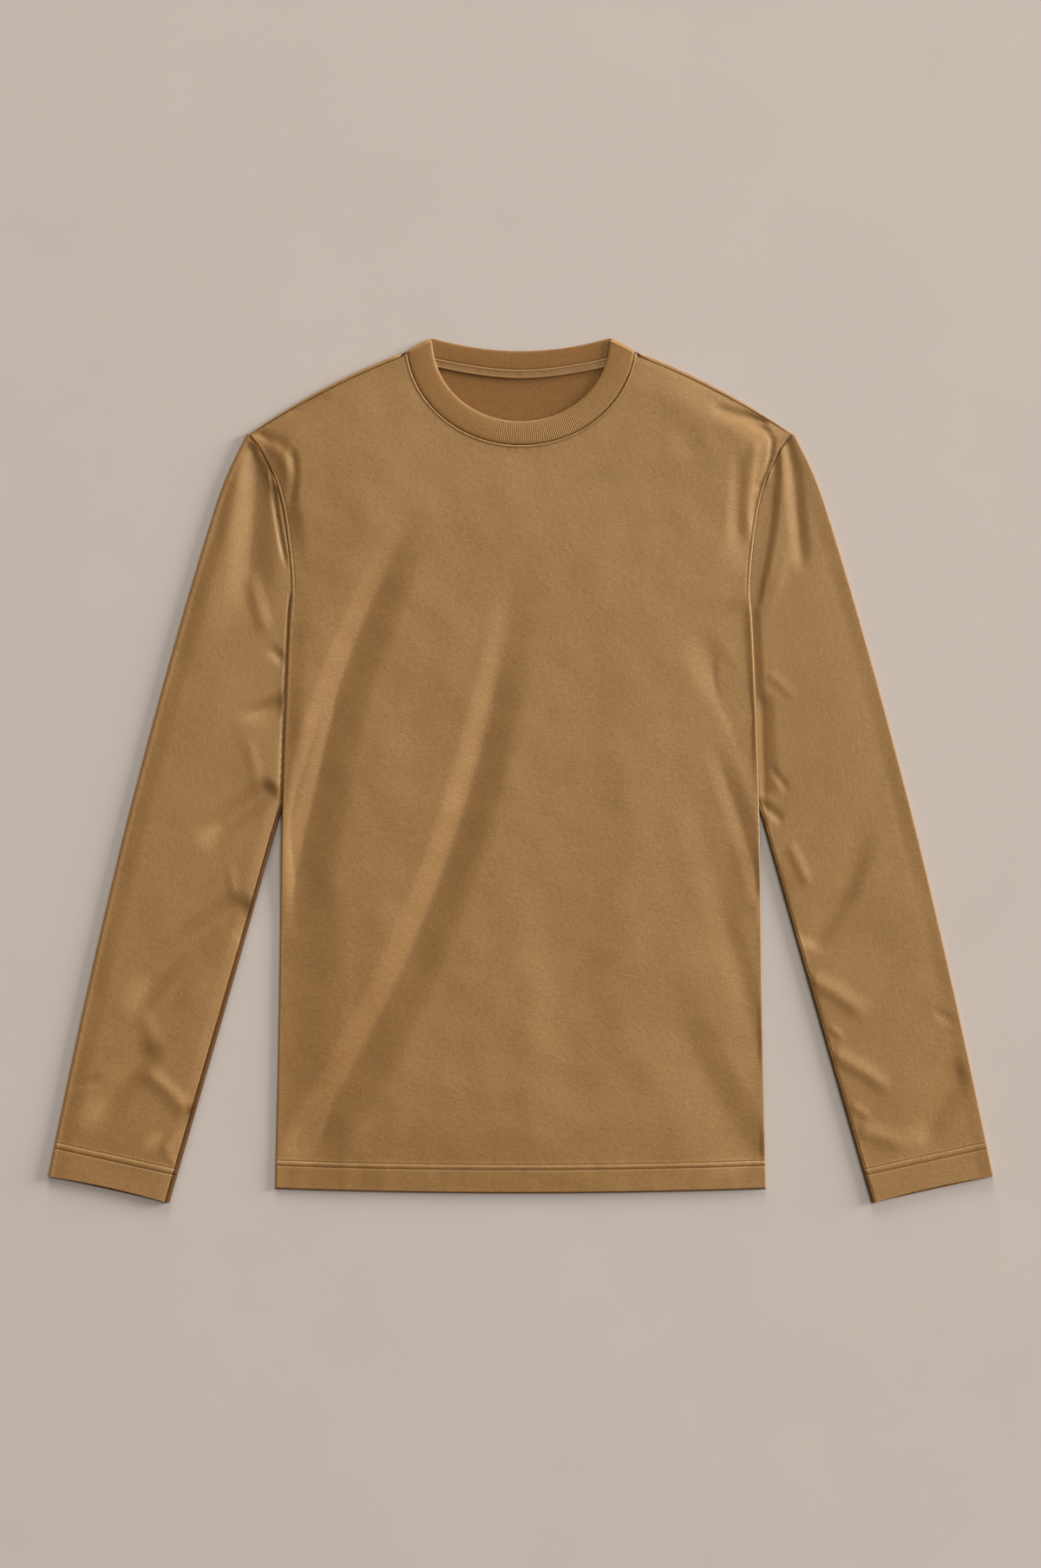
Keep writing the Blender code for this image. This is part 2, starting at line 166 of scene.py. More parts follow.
def tuck_lift(x, y):
    """Height of the back panel where it lies on the inner side of a sleeve."""
    arm_y, arm_x = SLEEVE_INNER[-1]
    rim_slope = (body_half_width(UNDERARM_Y) - arm_x) / (UNDERARM_Y - arm_y)
    hidden_edge = np.where(y < arm_y, along_table(SLEEVE_INNER, y), arm_x + (y - arm_y) * rim_slope)
    return TUCK_HEIGHT * smooth(1.0 + (np.abs(x) - hidden_edge + TUCK_LEVEL) / TUCK_SLOPE)


def grid_rows(low_rows, share_rows, high_rows, low_y, high_y):
    """Heights of a panel's grid lines: set off from its two ends, and shared out between."""
    low = low_y + np.array(low_rows)[:, None] * MM
    high = high_y - np.array(high_rows)[:, None] * MM
    middle = between(low[-1], high[0], share_rows[:, None])
    return np.concatenate((low, middle, high))


def body_columns(neck_shares, shoulder_shares, neck_top, shoulder_top):
    """Columns from -X to +X: share of the hem's half width, and x and y at the top."""
    neck_x, neck_y = neck_top(neck_shares)
    shoulder_x = between(neck_x[-1], SHOULDER_X, shoulder_shares)
    hem_share = np.concatenate((NECK_SHARE_AT_HEM * neck_shares,
                                between(NECK_SHARE_AT_HEM, 1.0, shoulder_shares)))
    top_x = np.concatenate((neck_x, shoulder_x))
    top_y = np.concatenate((neck_y, shoulder_top(shoulder_x)))
    return (np.concatenate((-hem_share[:0:-1], hem_share)),
            np.concatenate((-top_x[:0:-1], top_x)),
            np.concatenate((top_y[:0:-1], top_y)))


def body_places(columns, low_rows, share_rows, high_rows):
    """x and y of a body panel's grid. Its outer columns follow the side and the armhole."""
    hem_share, top_x, top_y = columns
    hem_half = body_half_width(HEM_Y)
    low_y = hem_y(hem_share * hem_half)
    y = grid_rows(low_rows, share_rows, high_rows, low_y, top_y)
    share = (y - low_y) / (top_y - low_y)
    edge_y = between(HEM_Y, top_y[-1], share)
    bend = body_half_width(edge_y) - between(hem_half, top_x[-1], share)
    return between(hem_share * hem_half, top_x, share) + bend * hem_share ** 3, y


def lay_grid(name, x, y, z, cloth_u, cloth_v):
    """Faces through a grid of points, and the row and the column of each of its vertices.

    cloth_u and cloth_v are places on the flat cloth, across and along its grain.
    """
    rows, columns = x.shape
    bpy.ops.object.select_all(action="DESELECT")
    bpy.ops.mesh.primitive_grid_add(x_subdivisions=columns - 1, y_subdivisions=rows - 1, size=1.0)
    piece = bpy.context.object
    piece.name = name
    mesh = piece.data
    mesh.name = name
    places = np.empty(len(mesh.vertices) * 3)
    mesh.vertices.foreach_get("co", places)
    places = places.reshape(-1, 3)
    column = np.rint((places[:, 0] + 0.5) * (columns - 1)).astype(int)
    row = np.rint((places[:, 1] + 0.5) * (rows - 1)).astype(int)
    points = np.stack((x[row, column], y[row, column], z[row, column]), axis=1)
    mesh.vertices.foreach_set("co", points.ravel())
    corners = np.empty(len(mesh.loops), int)
    mesh.loops.foreach_get("vertex_index", corners)
    flat = np.stack((cloth_u[row, column], cloth_v[row, column]), axis=1)[corners]
    mesh.uv_layers.active.name = "cloth"
    mesh.uv_layers.active.data.foreach_set("uv", flat.ravel())
    return piece, row, column


def lay_sheet(name, materials, grid, hem=None, painted_shade=None, thickness=CLOTH):
    """Wall whose outer side goes through a grid of points, and whose inside is plain.

    materials are those of the outer side and of the inside, and then of both where shade is painted
    on the cloth. hem and painted_shade are true at the points where it is turned up and where shade
    is painted on it.
    """
    piece, row, column = lay_grid(name, *grid)
    mesh = piece.data
    if painted_shade is not None:
        marked = painted_shade[row, column]
        for face in mesh.polygons:
            face.material_index = 2 if all(marked[corner] for corner in face.vertices) else 0

    for material in materials:
        mesh.materials.append(material)
    wall = piece.modifiers.new("Wall", "SOLIDIFY")
    wall.offset = -1.0
    wall.thickness = thickness
    wall.material_offset = min(len(materials) - 1, 1)
    if hem is not None:
        group = piece.vertex_groups.new(name="hem")
        group.add(np.flatnonzero(hem[row, column]).tolist(), 1.0, "REPLACE")
        wall.vertex_group = group.name
        wall.thickness = HEM_CLOTH
        wall.thickness_vertex_group = CLOTH / HEM_CLOTH
    bpy.ops.object.mode_set(mode="EDIT")
    bpy.ops.mesh.select_all(action="SELECT")
    bpy.ops.mesh.remove_doubles(threshold=0.01 * MM)
    bpy.ops.object.mode_set(mode="OBJECT")
    bpy.ops.object.modifier_apply(modifier=wall.name)
    bpy.ops.object.shade_smooth_by_angle(angle=math.radians(SHARP_EDGE))
    return piece


def back_neck_top(share):
    x = NECK_X * share
    return x, back_seam_y(x) - SEAM_GAP


neck_shares = np.linspace(0.0, 1.0, 25)
shoulder_shares = 1.0 - (1.0 - np.linspace(0.0, 1.0, 29)[1:]) ** 1.4
back_columns = body_columns(neck_shares, shoulder_shares, back_neck_top,
                            lambda x: shoulder_y(x) - 0.5 * shoulder_fold(x))
back_x, back_y = body_places(back_columns, BACK_HEM_ROWS, np.linspace(0, 1, BACK_ROWS)[1:-1],
                             BACK_TOP_ROWS)
back_z = tuck_lift(back_x, back_y)
for seam in HEM_SEAMS:
    back_z += UNDER_DITCH * bump(back_y - hem_y(back_x), seam, DITCH)

# The fold over the shoulder: half a turn up from the floor, then on to the seam.
turn = np.linspace(0.0, math.pi, FOLD_STEPS + 1)[1:, None]
rolled = np.abs(back_columns[1]) > NECK_X + SEAM_GAP
fold_radius = np.where(rolled, 0.5 * shoulder_fold(back_x[-1]), 0.0)
fold_y = back_y[-1] + fold_radius * np.sin(turn)
fold_z = back_z[-1] + fold_radius * (1.0 - np.cos(turn))
seam_y = np.where(rolled, shoulder_seam_y(back_x[-1]), back_y[-1])[None, :]
back_x = np.concatenate((back_x, np.repeat(back_x[-1:], FOLD_STEPS + 1, axis=0)))
back_y = np.concatenate((back_y, fold_y, np.minimum(seam_y, fold_y[-1:])))
back_z = np.concatenate((back_z, fold_z, fold_z[-1:]))
back_hem = back_y - hem_y(back_x) < HEM_TURN
# the panel faces down, so its columns run the other way
back_grid = [values[:, ::-1] for values in (back_x, back_y, back_z, back_x, back_y)]

# Jersey: the fine knit face, brushed a little, with a soft sheen. One effect makes its fine
# streaks, nap and mottling, and the rib, the tape and the thread use it with other values.

WALE_PITCH = 0.75 * MM
SHEEN_WARMTH = (1.0, 0.86, 0.68, 1.0)
GLOSS_WARMTH = (1.0, 0.88, 0.60, 1.0)
DULL = 0.6                   # from this roughness on, a cloth has hardly any gloss


def add_node(tree, kind, inputs=(), **settings):
    """Shader node. Its inputs are given as values or as other nodes' outputs."""
    node = tree.nodes.new(kind)
    for key, value in settings.items():
        setattr(node, key, value)
    for socket, value in dict(inputs).items():
        if isinstance(value, bpy.types.NodeSocket):
            tree.links.new(value, node.inputs[socket])
        else:
            node.inputs[socket].default_value = value
    return node


def add_noise(tree, place, scale, detail, distortion=0.0):
    noise_node = add_node(tree, "ShaderNodeTexNoise", {
        "Vector": place, "Scale": scale, "Detail": detail, "Roughness": 0.55,
        "Distortion": distortion})
    return noise_node.outputs[0]


def add_sum(tree, terms):
    """Sum of sockets, each taken about its middle value of 0.5 and weighted."""
    total = 0.0
    for socket, weight in terms:
        centred = add_node(tree, "ShaderNodeMath", {0: socket, 1: 0.5}, operation="SUBTRACT")
        total = add_node(tree, "ShaderNodeMath", {0: centred.outputs[0], 1: weight, 2: total},
                         operation="MULTIPLY_ADD").outputs[0]
    return total


knit_face = bpy.data.node_groups.new("knit_face", "ShaderNodeTree")
for socket_name, kind in (("Place", "NodeSocketVector"), ("Deep", "NodeSocketColor"),
                          ("Pale", "NodeSocketColor"), ("Wale Pitch", "NodeSocketFloat"),
                          ("Wale Tone And Painted Shade", "NodeSocketFloat"), ("Nap Height", "NodeSocketFloat"),
                          ("Roughness", "NodeSocketFloat")):
    knit_face.interface.new_socket(socket_name, in_out="INPUT", socket_type=kind)
for socket_name, kind in (("Colour", "NodeSocketColor"), ("Roughness", "NodeSocketFloat"),
                          ("Height", "NodeSocketFloat")):
    knit_face.interface.new_socket(socket_name, in_out="OUTPUT", socket_type=kind)
face_in = knit_face.nodes.new("NodeGroupInput")
face_out = knit_face.nodes.new("NodeGroupOutput")
place = face_in.outputs["Place"]
streak_place = add_node(knit_face, "ShaderNodeMapping", {
    "Vector": place, "Rotation": (0.0, 0.0, math.radians(-38)), "Scale": (0.34, 1.0, 1.0)})
streaks = add_noise(knit_face, streak_place.outputs[0], 820.0, 2.0, 1.4)
patches = add_noise(knit_face, place, 34.0, 3.0, 0.4)
mottle = add_noise(knit_face, place, 230.0, 3.0, 0.6)
fibres = add_noise(knit_face, place, 2300.0, 2.0)
# a wave across the wales in the colour: faint lines on the jersey's inside, and on the rib painted
# shade in the hollows between the ribs
across = add_node(knit_face, "ShaderNodeSeparateXYZ", {0: place})
turns = add_node(knit_face, "ShaderNodeMath", {0: across.outputs[0], 1: face_in.outputs["Wale Pitch"]},
                 operation="DIVIDE")
wave = add_node(knit_face, "ShaderNodeMath", {0: turns.outputs[0], 1: 2.0 * math.pi},
                operation="MULTIPLY")
wales = add_node(knit_face, "ShaderNodeMath", {0: wave.outputs[0]}, operation="SINE")
shade = add_sum(knit_face, ((streaks, 1.3), (patches, 0.6), (mottle, 0.8), (fibres, 0.7)))
shade = add_node(knit_face, "ShaderNodeMath", {
    0: wales.outputs[0], 1: face_in.outputs["Wale Tone And Painted Shade"], 2: shade}, operation="MULTIPLY_ADD")
share = add_node(knit_face, "ShaderNodeMath", {0: shade.outputs[0], 1: 0.5}, operation="ADD",
                 use_clamp=True)
colour = add_node(knit_face, "ShaderNodeMix", {
    "Factor": share.outputs[0], 6: face_in.outputs["Deep"], 7: face_in.outputs["Pale"]},
    data_type="RGBA")
relief = add_sum(knit_face, ((streaks, 1.0), (mottle, 0.9), (fibres, 0.35)))
height = add_node(knit_face, "ShaderNodeMath", {0: relief, 1: face_in.outputs["Nap Height"]},
                  operation="MULTIPLY")
rough = add_node(knit_face, "ShaderNodeMath", {
    0: add_sum(knit_face, ((fibres, 0.16), (patches, 0.12))), 1: face_in.outputs["Roughness"]},
    operation="ADD")
knit_face.links.new(colour.outputs[2], face_out.inputs["Colour"])
knit_face.links.new(rough.outputs[0], face_out.inputs["Roughness"])
knit_face.links.new(height.outputs[0], face_out.inputs["Height"])


def knit_material(name, deep, pale, wale_pitch, wale_tone_and_painted_shade, nap_height, roughness):
    """Knitted cotton. Its pattern follows the piece's own flat map, which is in metres."""
    material = bpy.data.materials.new(name)
    material.use_nodes = True
    tree = material.node_tree
    shader = tree.nodes["Principled BSDF"]
    cloth_map = add_node(tree, "ShaderNodeUVMap", uv_map="cloth")
    face = add_node(tree, "ShaderNodeGroup", node_tree=knit_face)
    tree.links.new(cloth_map.outputs[0], face.inputs["Place"])
    for socket, value in (("Deep", deep), ("Pale", pale), ("Wale Pitch", wale_pitch),
                          ("Wale Tone And Painted Shade", wale_tone_and_painted_shade), ("Nap Height", nap_height),
                          ("Roughness", roughness)):
        face.inputs[socket].default_value = value
    nap = add_node(tree, "ShaderNodeBump", {"Height": face.outputs["Height"], "Strength": 1.0,
                                            "Distance": 1.0})
    tree.links.new(face.outputs["Colour"], shader.inputs["Base Color"])
    tree.links.new(face.outputs["Roughness"], shader.inputs["Roughness"])
    tree.links.new(nap.outputs[0], shader.inputs["Normal"])
    shader.inputs["Specular IOR Level"].default_value = 1.0 if roughness < DULL else 0.25
    shader.inputs["Specular Tint"].default_value = GLOSS_WARMTH
    shader.inputs["Sheen Weight"].default_value = 0.06
    shader.inputs["Sheen Roughness"].default_value = 0.45
    shader.inputs["Sheen Tint"].default_value = SHEEN_WARMTH
    return material


jersey = knit_material("caramel_jersey", (0.208, 0.092, 0.020, 1.0), (0.306, 0.147, 0.041, 1.0),
                       WALE_PITCH, 0.0, 0.17 * MM, 0.47)
# the jersey's matt inside, also darker in colour as painted shade for the inside of the back
inside_and_painted_shade = knit_material("jersey_inside_and_painted_shade", (0.180, 0.080, 0.023, 1.0), (0.243, 0.115, 0.037, 1.0),
                        WALE_PITCH, 0.1, 0.12 * MM, 0.80)
back = lay_sheet("back_panel", (jersey, inside_and_painted_shade), back_grid, back_hem[:, ::-1])
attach(back, "root")
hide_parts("back")


# ---- Sleeves -------------------------------------------------------------------------------
# Each sleeve is one piece of the jersey, sewn into a tube along the underarm, pressed flat and
# turned up at the cuff. Its head is sewn to the armhole, and below that the body lies on it.

SLEEVE_OUTER = (             # y, x of a sleeve's outer edge
    (-0.3456, 0.4029),
    (-0.1939, 0.3707),
    (-0.0607, 0.3397),
    (0.0281, 0.3167),
    (0.1169, 0.2923),
    (0.2057, 0.2660),
    (0.2501, 0.2509),
    (0.2871, 0.2332),
)
SLEEVE_CORNER = 0.77         # share of the sleeve's upper end that is sewn to the armhole
SLEEVE_EDGE_RADIUS = 2.1 * MM
HIDDEN_EDGE_RADIUS = 1.3 * MM    # where the body lies on it
SLEEVE_LEAST = 2.0 * MM      # lowest that the upper wall can lie on the lower one
# -1 is the right sleeve, at -X, and 1 the left one
SLEEVE_RISE = {-1: 1.3 * MM, 1: 0.1 * MM}      # how far the upper wall rises
OUTER_RISE = 0.018           # over this width from its outer edge
INNER_RISE = 0.014           # over this width from its inner edge
BODY_RISE = {-1: 0.003, 1: 0.009}              # and over this width from the body's edge
# UNDERARM_SEAM also sets the width of the strip of painted shade along a sleeve's inner edge
UNDERARM_SEAM = {-1: 4.2 * MM, 1: 2.4 * MM}    # distance of the seam from the inner edge
HEAD_DRAWN = 2.2 * MM        # the right sleeve's head is drawn up to the armhole seam
HEAD_SUNK = 2.6 * MM         # and the left sleeve sinks beside it, below this place
HEAD_Y = 0.258
HEAD_ROLL = 0.7 * MM
CREASE_ENDS = {"inner": 0.007, "outer": 0.012, "cuff": 0.020}    # they fade out at the edges
CUFF_SEAMS = (24.2 * MM, 29.6 * MM)
CUFF_TURN = 27.6 * MM
CUFF_RECESS = 1.9 * MM       # the upper wall of the cuff stands back from the lower one
CUFF_OPEN = 0.012            # over this length
HEM_RISE = 0.35 * MM         # a turned hem rises over this step above its upper seam
HEM_STEP = 2.0 * MM
HEM_BAND_RISE = 0.30 * MM    # and more between its seams
HEM_DITCH = 0.45 * MM

SLEEVE_ROWS = 168
CUFF_TO_HEAD = (0.647, 0.492)    # lengths along the outer and the inner edge, from the cuff
HEAD_TO_CUFF = (0.64, 0.50)      # and from the head
CUFF_ROWS = (0, 0.2, 0.5, 1, 1.8, 3, 5.5, 8.5, 11.5, 14.5, 17.5, 20, 22, 23, 23.5, 23.9, 24.3,
             24.7, 25.2, 26, 27, 28, 28.7, 29.1, 29.5, 29.9, 30.3, 31, 32.2, 34)
HEAD_ROWS = (9, 7.8, 6.8, 5.8, 5, 4.2, 3.5, 2.8, 2.2, 1.6, 1.1, 0.7, 0.35, 0.12, 0)

# Creases run down from (x1, y1) to (x2, y2), bowed towards +X. They fade in and out over the
# next two lengths. Left and right are their widths towards -X and +X, spread is how much wider
# they end, pinch is 0 for a soft and 1 for a sharp bottom, and a trough's height is below 0.
# Columns: x1, y1, x2, y2, bow, fade in, fade out, left, right, spread, pinch, height
RIGHT_SLEEVE_CREASES = (
    (-225, 280, -235, 120, 1.0, 8, 60, 15, 18, 1.7, 0.2, -3.4),
    (-213, 258, -199, 170, -1.0, 12, 24, 3.2, 3.2, 1.0, 0.4, -2.2),
    (-238, 262, -276, 70, -4.0, 25, 70, 20, 22, 1.2, 0.1, 1.0),
    (-232, 172, -216, 112, 0.0, 18, 18, 10, 10, 1.0, 0.1, 1.0),
    (-252, 262, -264, 180, 0.0, 15, 25, 8, 8, 1.2, 0.2, -0.9),
    (-242, 42, -194, 62, 0.0, 30, 3, 13, 10, 1.2, 0.3, -2.8),
    (-218, 106, -198, 92, 0.0, 14, 3, 8, 8, 1.0, 0.3, -1.4),
    (-236, 34, -222, -26, 2.0, 20, 20, 9, 8, 1.0, 0.2, 0.5),
    (-208, -12, -276, -66, -1.0, 10, 34, 16, 13, 1.2, 0.1, -3.8),
    (-250, -72, -241, -120, 0.0, 20, 14, 8, 7, 1.0, 0.4, 0.5),
    (-226, -110, -338, -210, -9.0, 16, 44, 20, 15, 1.2, 0.1, -3.8),
    (-234, -140, -296, -214, -5.0, 12, 30, 14, 24, 1.0, 0.0, 0.9),
    (-308, -230, -372, -308, -2.0, 20, 38, 19, 18, 1.2, 0.2, -3.0),
    (-326, -204, -312, -240, 3.0, 12, 14, 11, 11, 1.0, 0.1, 0.6),
    (-324, -254, -283, -293, 3.0, 12, 6, 13, 11, 1.0, 0.4, 1.5),
    (-278, -286, -320, -322, 0.0, 8, 20, 11, 9, 1.2, 0.5, -2.4),
    (-307, -317, -294, -338, 1.0, 6, 5, 5, 4, 1.0, 0.4, 0.8),
    (-352, -262, -389, -271, 0.0, 14, 2, 6, 5, 1.0, 0.5, -0.9),
)
LEFT_SLEEVE_CREASES = (
    (217, 274, 199, 138, 4.0, 6, 16, 5.5, 6.0, 1.0, 0.4, -2.4),
    (225, 278, 208, 146, 4.6, 8, 24, 7, 15, 1.0, 0.2, 0.6),
    (228, 284, 240, 165, 1.0, 4, 26, 9, 9, 1.2, 0.3, -1.9),
    (229, 190, 206, 128, 1.0, 15, 15, 9, 8, 1.0, 0.3, 0.5),
    (203, 66, 206, -26, 0.0, 10, 8, 4, 15, 1.0, 0.3, -2.2),
    (213, 2, 228, -17, 0.0, 3, 5, 5, 5, 1.0, 0.5, -0.9),
    (205, -28, 224, -44, 0.0, 3, 6, 6, 7, 1.0, 0.4, -1.3),
    (210, 84, 236, 60, 0.0, 5, 14, 7, 8, 1.0, 0.3, 0.5),
    (300, -40, 244, -153, 6.0, 60, 12, 20, 15, 1.0, 0.2, -2.2),
    (228, -60, 246, -100, 0.0, 8, 10, 8, 8, 1.0, 0.2, 0.8),
    (246, -177, 300, -214, 2.0, 4, 26, 10, 12, 1.2, 0.3, 1.2),
    (266, -241, 320, -276, 1.0, 4, 24, 10, 11, 1.1, 0.4, 1.3),
    (379, -246, 335, -322, 1.0, 18, 26, 19, 17, 1.1, 0.3, -2.1),
    (287, -306, 336, -322, 0.0, 6, 22, 10, 13, 1.0, 0.4, 1.0),
    (262, -218, 276, -228, 0.0, 3, 5, 5, 5, 1.0, 0.4, 0.7),
    (281, -286, 300, -296, 0.0, 3, 8, 5, 6, 1.0, 0.4, 0.8),
    (350, -205, 377, -217, 0.0, 8, 2, 5, 5, 1.0, 0.5, -0.9),
)


def drift(x, y, size, seed):
    """Slow unevenness, from about -0.5 to 0.5, of cloth that was smoothed out by hand."""
    values = [noise.noise(Vector((px / size, py / size, seed)))
              for px, py in zip(x.ravel(), y.ravel())]
    return np.array(values).reshape(x.shape)


def roll_down(distance, radius):
    """Drop of a rolled edge, which ends upright."""
    inside = np.clip(radius - distance, 0.0, radius)
    return radius - np.sqrt(radius ** 2 - inside ** 2)


def crease_height(creases, x, y):
    """Sum of the creases' heights at points of a panel."""
    total = np.zeros_like(x)
    for x1, y1, x2, y2, bow, fade_in, fade_out, left, right, spread, pinch, height in creases:
        run_x = x2 - x1
        run_y = y2 - y1
        length = math.hypot(run_x, run_y)
        past_x = x / MM - x1
        past_y = y / MM - y1
        along = (past_x * run_x + past_y * run_y) / length
        share = np.clip(along / length, 0.0, 1.0)
        across = (past_y * run_x - past_x * run_y) / length - 4.0 * bow * share * (1.0 - share)
        width = np.where(across < 0.0, left, right) * between(1.0, spread, share)
        inside = np.clip(1.0 - np.abs(across) / width, 0.0, 1.0)
        profile = between(smooth(inside), inside ** 2, pinch)
        total += height * MM * profile * smooth(along / fade_in) * smooth((length - along) / fade_out)
    return total


def sleeve_end(across):
    """Upper end of a sleeve: down the armhole seam, then in under the body's edge."""
    arm_y, arm_x = SLEEVE_INNER[-1]
    seam_y = between(SHOULDER_Y, UNDERARM_Y, across / SLEEVE_CORNER)
    under = (across - SLEEVE_CORNER) / (1.0 - SLEEVE_CORNER)
    corner_x = body_half_width(UNDERARM_Y) + SEAM_GAP
    sewn = across < SLEEVE_CORNER
    return (np.where(sewn, body_half_width(seam_y) + SEAM_GAP, between(corner_x, arm_x, under)),
            np.where(sewn, seam_y, between(UNDERARM_Y, arm_y, under)))


def sleeve_place(along, across):
    """Place on a sleeve: 0 to 1 from cuff to armhole, and from outer to inner edge."""
    cuff_outer = SLEEVE_OUTER[0][::-1]
    cuff_inner = SLEEVE_INNER[0][::-1]
    outer_y = between(cuff_outer[1], SHOULDER_Y, along)
    inner_y = between(cuff_inner[1], SLEEVE_INNER[-1][0], along)
    outer = (along_table(SLEEVE_OUTER, outer_y), outer_y)
    inner = (along_table(SLEEVE_INNER, inner_y), inner_y)
    end = sleeve_end(across)
    end_outer = sleeve_end(np.array(0.0))
    end_inner = sleeve_end(np.array(1.0))
    place = []
    for axis in range(2):
        cuff = between(cuff_outer[axis], cuff_inner[axis], across)
        corners = between(cuff, between(end_outer[axis], end_inner[axis], across), along)
        place.append(between(outer[axis], inner[axis], across)
                     + between(cuff, end[axis], along) - corners)
    return place


def from_cuff(x, y):
    """Distance from the line of the cuff's edge."""
    outer_y, outer_x = SLEEVE_OUTER[0]
    inner_y, inner_x = SLEEVE_INNER[0]
    run = math.hypot(outer_x - inner_x, outer_y - inner_y)
    return ((outer_x - inner_x) * (y - inner_y) - (outer_y - inner_y) * (x - inner_x)) / run


def hem_relief(distance, lower_seam, upper_seam):
    """Height of a turned hem, by the distance from its edge: a raised band between two seams."""
    turned = HEM_RISE * smooth((upper_seam + HEM_STEP - distance) / HEM_STEP)
    middle = 0.5 * (lower_seam + upper_seam)
    band = HEM_BAND_RISE * bump(distance, middle, 0.5 * (upper_seam - lower_seam))
    sunk = bump(distance, lower_seam, DITCH) + bump(distance, upper_seam, DITCH)
    return turned + band - HEM_DITCH * sunk


def sleeve_along(across):
    """Grid lines of a sleeve: set off from its cuff and its head, and shared out between."""
    cuff_rows = np.array(CUFF_ROWS)[:, None] * MM
    cuff = cuff_rows / between(*CUFF_TO_HEAD, across)
    for _ in range(3):
        reached = from_cuff(*sleeve_place(cuff, across))
        cuff = cuff * cuff_rows / np.maximum(reached, 0.01 * MM)
    head = 1.0 - np.array(HEAD_ROWS)[:, None] * MM / between(*HEAD_TO_CUFF, across)
    spread = np.linspace(0.0, 1.0, SLEEVE_ROWS)[1:-1, None] ** 0.88
    return np.concatenate((cuff, between(cuff[-1:], head[:1], spread), head))


def sleeve_edge_radius(x, y, side):
    """Half the height of a sleeve's edges, lower where the body lies on it."""
    free = smooth((x - body_half_width(y)) / BODY_RISE[side])
    sewn = smooth((y - UNDERARM_Y + 0.006) / 0.012)
    return between(HIDDEN_EDGE_RADIUS, SLEEVE_EDGE_RADIUS, np.maximum(free, sewn))


def sleeve_height(x, y, from_outer, from_inner, creases, side):
    """Upper side of a sleeve's upper wall, where the tube isn't turning at its edges."""
    from_body = x - body_half_width(y)
    head = smooth((y - UNDERARM_Y + 0.012) / 0.020)
    free = smooth(from_inner / INNER_RISE) * smooth(from_body / BODY_RISE[side])
    rise = SLEEVE_RISE[side] * between(free, 1.0, head) * smooth(from_outer / OUTER_RISE)
    rise *= between(0.4, 1.0, smooth(from_cuff(x, y) / 0.060))
    folds = crease_height(creases, side * x, y)
    folds += 0.7 * MM * drift(x, y, 0.060, 3.0 + side) + 0.15 * MM * drift(x, y, 0.024, 8.0 + side)
    folds *= between(smooth(np.minimum(from_inner, from_body) / CREASE_ENDS["inner"]), 1.0, head)
    folds *= smooth(from_outer / CREASE_ENDS["outer"]) * smooth(from_cuff(x, y) / CREASE_ENDS["cuff"])
    height = 2.0 * sleeve_edge_radius(x, y, side) + rise + folds
    inside = smooth(from_outer / 0.014)
    if side > 0:
        sunk = smooth(1.0 - (from_body - 0.005) / 0.007) * smooth((HEAD_Y - y) / 0.025)
        height -= HEAD_SUNK * head * sunk * inside
    height = np.maximum(height, SLEEVE_LEAST)
    if side < 0:
        drawn = smooth(1.0 - (from_body - 0.002) / 0.008) * smooth((y - HEAD_Y + 0.032) / 0.022)
        height += HEAD_DRAWN * drawn * inside
    height -= head * roll_down(from_body, HEAD_ROLL)
    # pressed outer edge, and the underarm seam just in from the inner edge
    if side > 0:
        height += 0.6 * MM * smooth(1.0 - from_outer / 0.013)
    else:
        height += 0.25 * MM * bump(from_outer, 2.2 * MM, 2.4 * MM)
    height -= 0.7 * MM * (1.0 - head) * bump(from_inner, UNDERARM_SEAM[side], DITCH)
    return height + hem_relief(from_cuff(x, y), *CUFF_SEAMS)


# Columns round a sleeve, each a share of its width and a turn: across the upper wall, round the
# inner edge, back across the lower wall and round the outer edge to the first column again.
GRID_WIDTH = 130.0           # the sleeve's width, for the columns near its edges
OUTER_COLUMNS = (0.0, 0.4, 0.9, 1.4, 1.9, 2.4, 3.0, 3.8, 5.0)
INNER_COLUMNS = (5.4, 4.8, 4.3, 3.8, 3.2, 2.7, 2.2, 1.6, 1.0, 0.5, 0.0)
TOP_COLUMNS = 74
FLOOR_COLUMNS = 22
EDGE_TURN = np.radians((22.5, 45.0, 67.5, 90.0, 112.5, 135.0, 157.5))

edge_share = OUTER_COLUMNS[-1] / GRID_WIDTH
top_across = np.concatenate((
    np.array(OUTER_COLUMNS) / GRID_WIDTH,
    between(edge_share, 1.0 - edge_share, np.linspace(0.0, 1.0, TOP_COLUMNS)[1:-1]),
    1.0 - np.array(INNER_COLUMNS) / GRID_WIDTH))
sleeve_columns = ([(share, 0.0) for share in top_across] + [(1.0, turn) for turn in EDGE_TURN]
                  + [(share, math.pi) for share in np.linspace(1.0, 0.0, FLOOR_COLUMNS)]
                  + [(0.0, turn) for turn in EDGE_TURN[::-1]] + [(0.0, 0.0)])


# painted shade: a dark copy of the jersey where the cloth lies in shade beside a seam or under the
# body's edge
jersey_painted_shade = knit_material("jersey_painted_shade", (0.085, 0.035, 0.009, 1.0), (0.115, 0.050, 0.013, 1.0),
                            WALE_PITCH, 0.0, 0.10 * MM, 0.72)


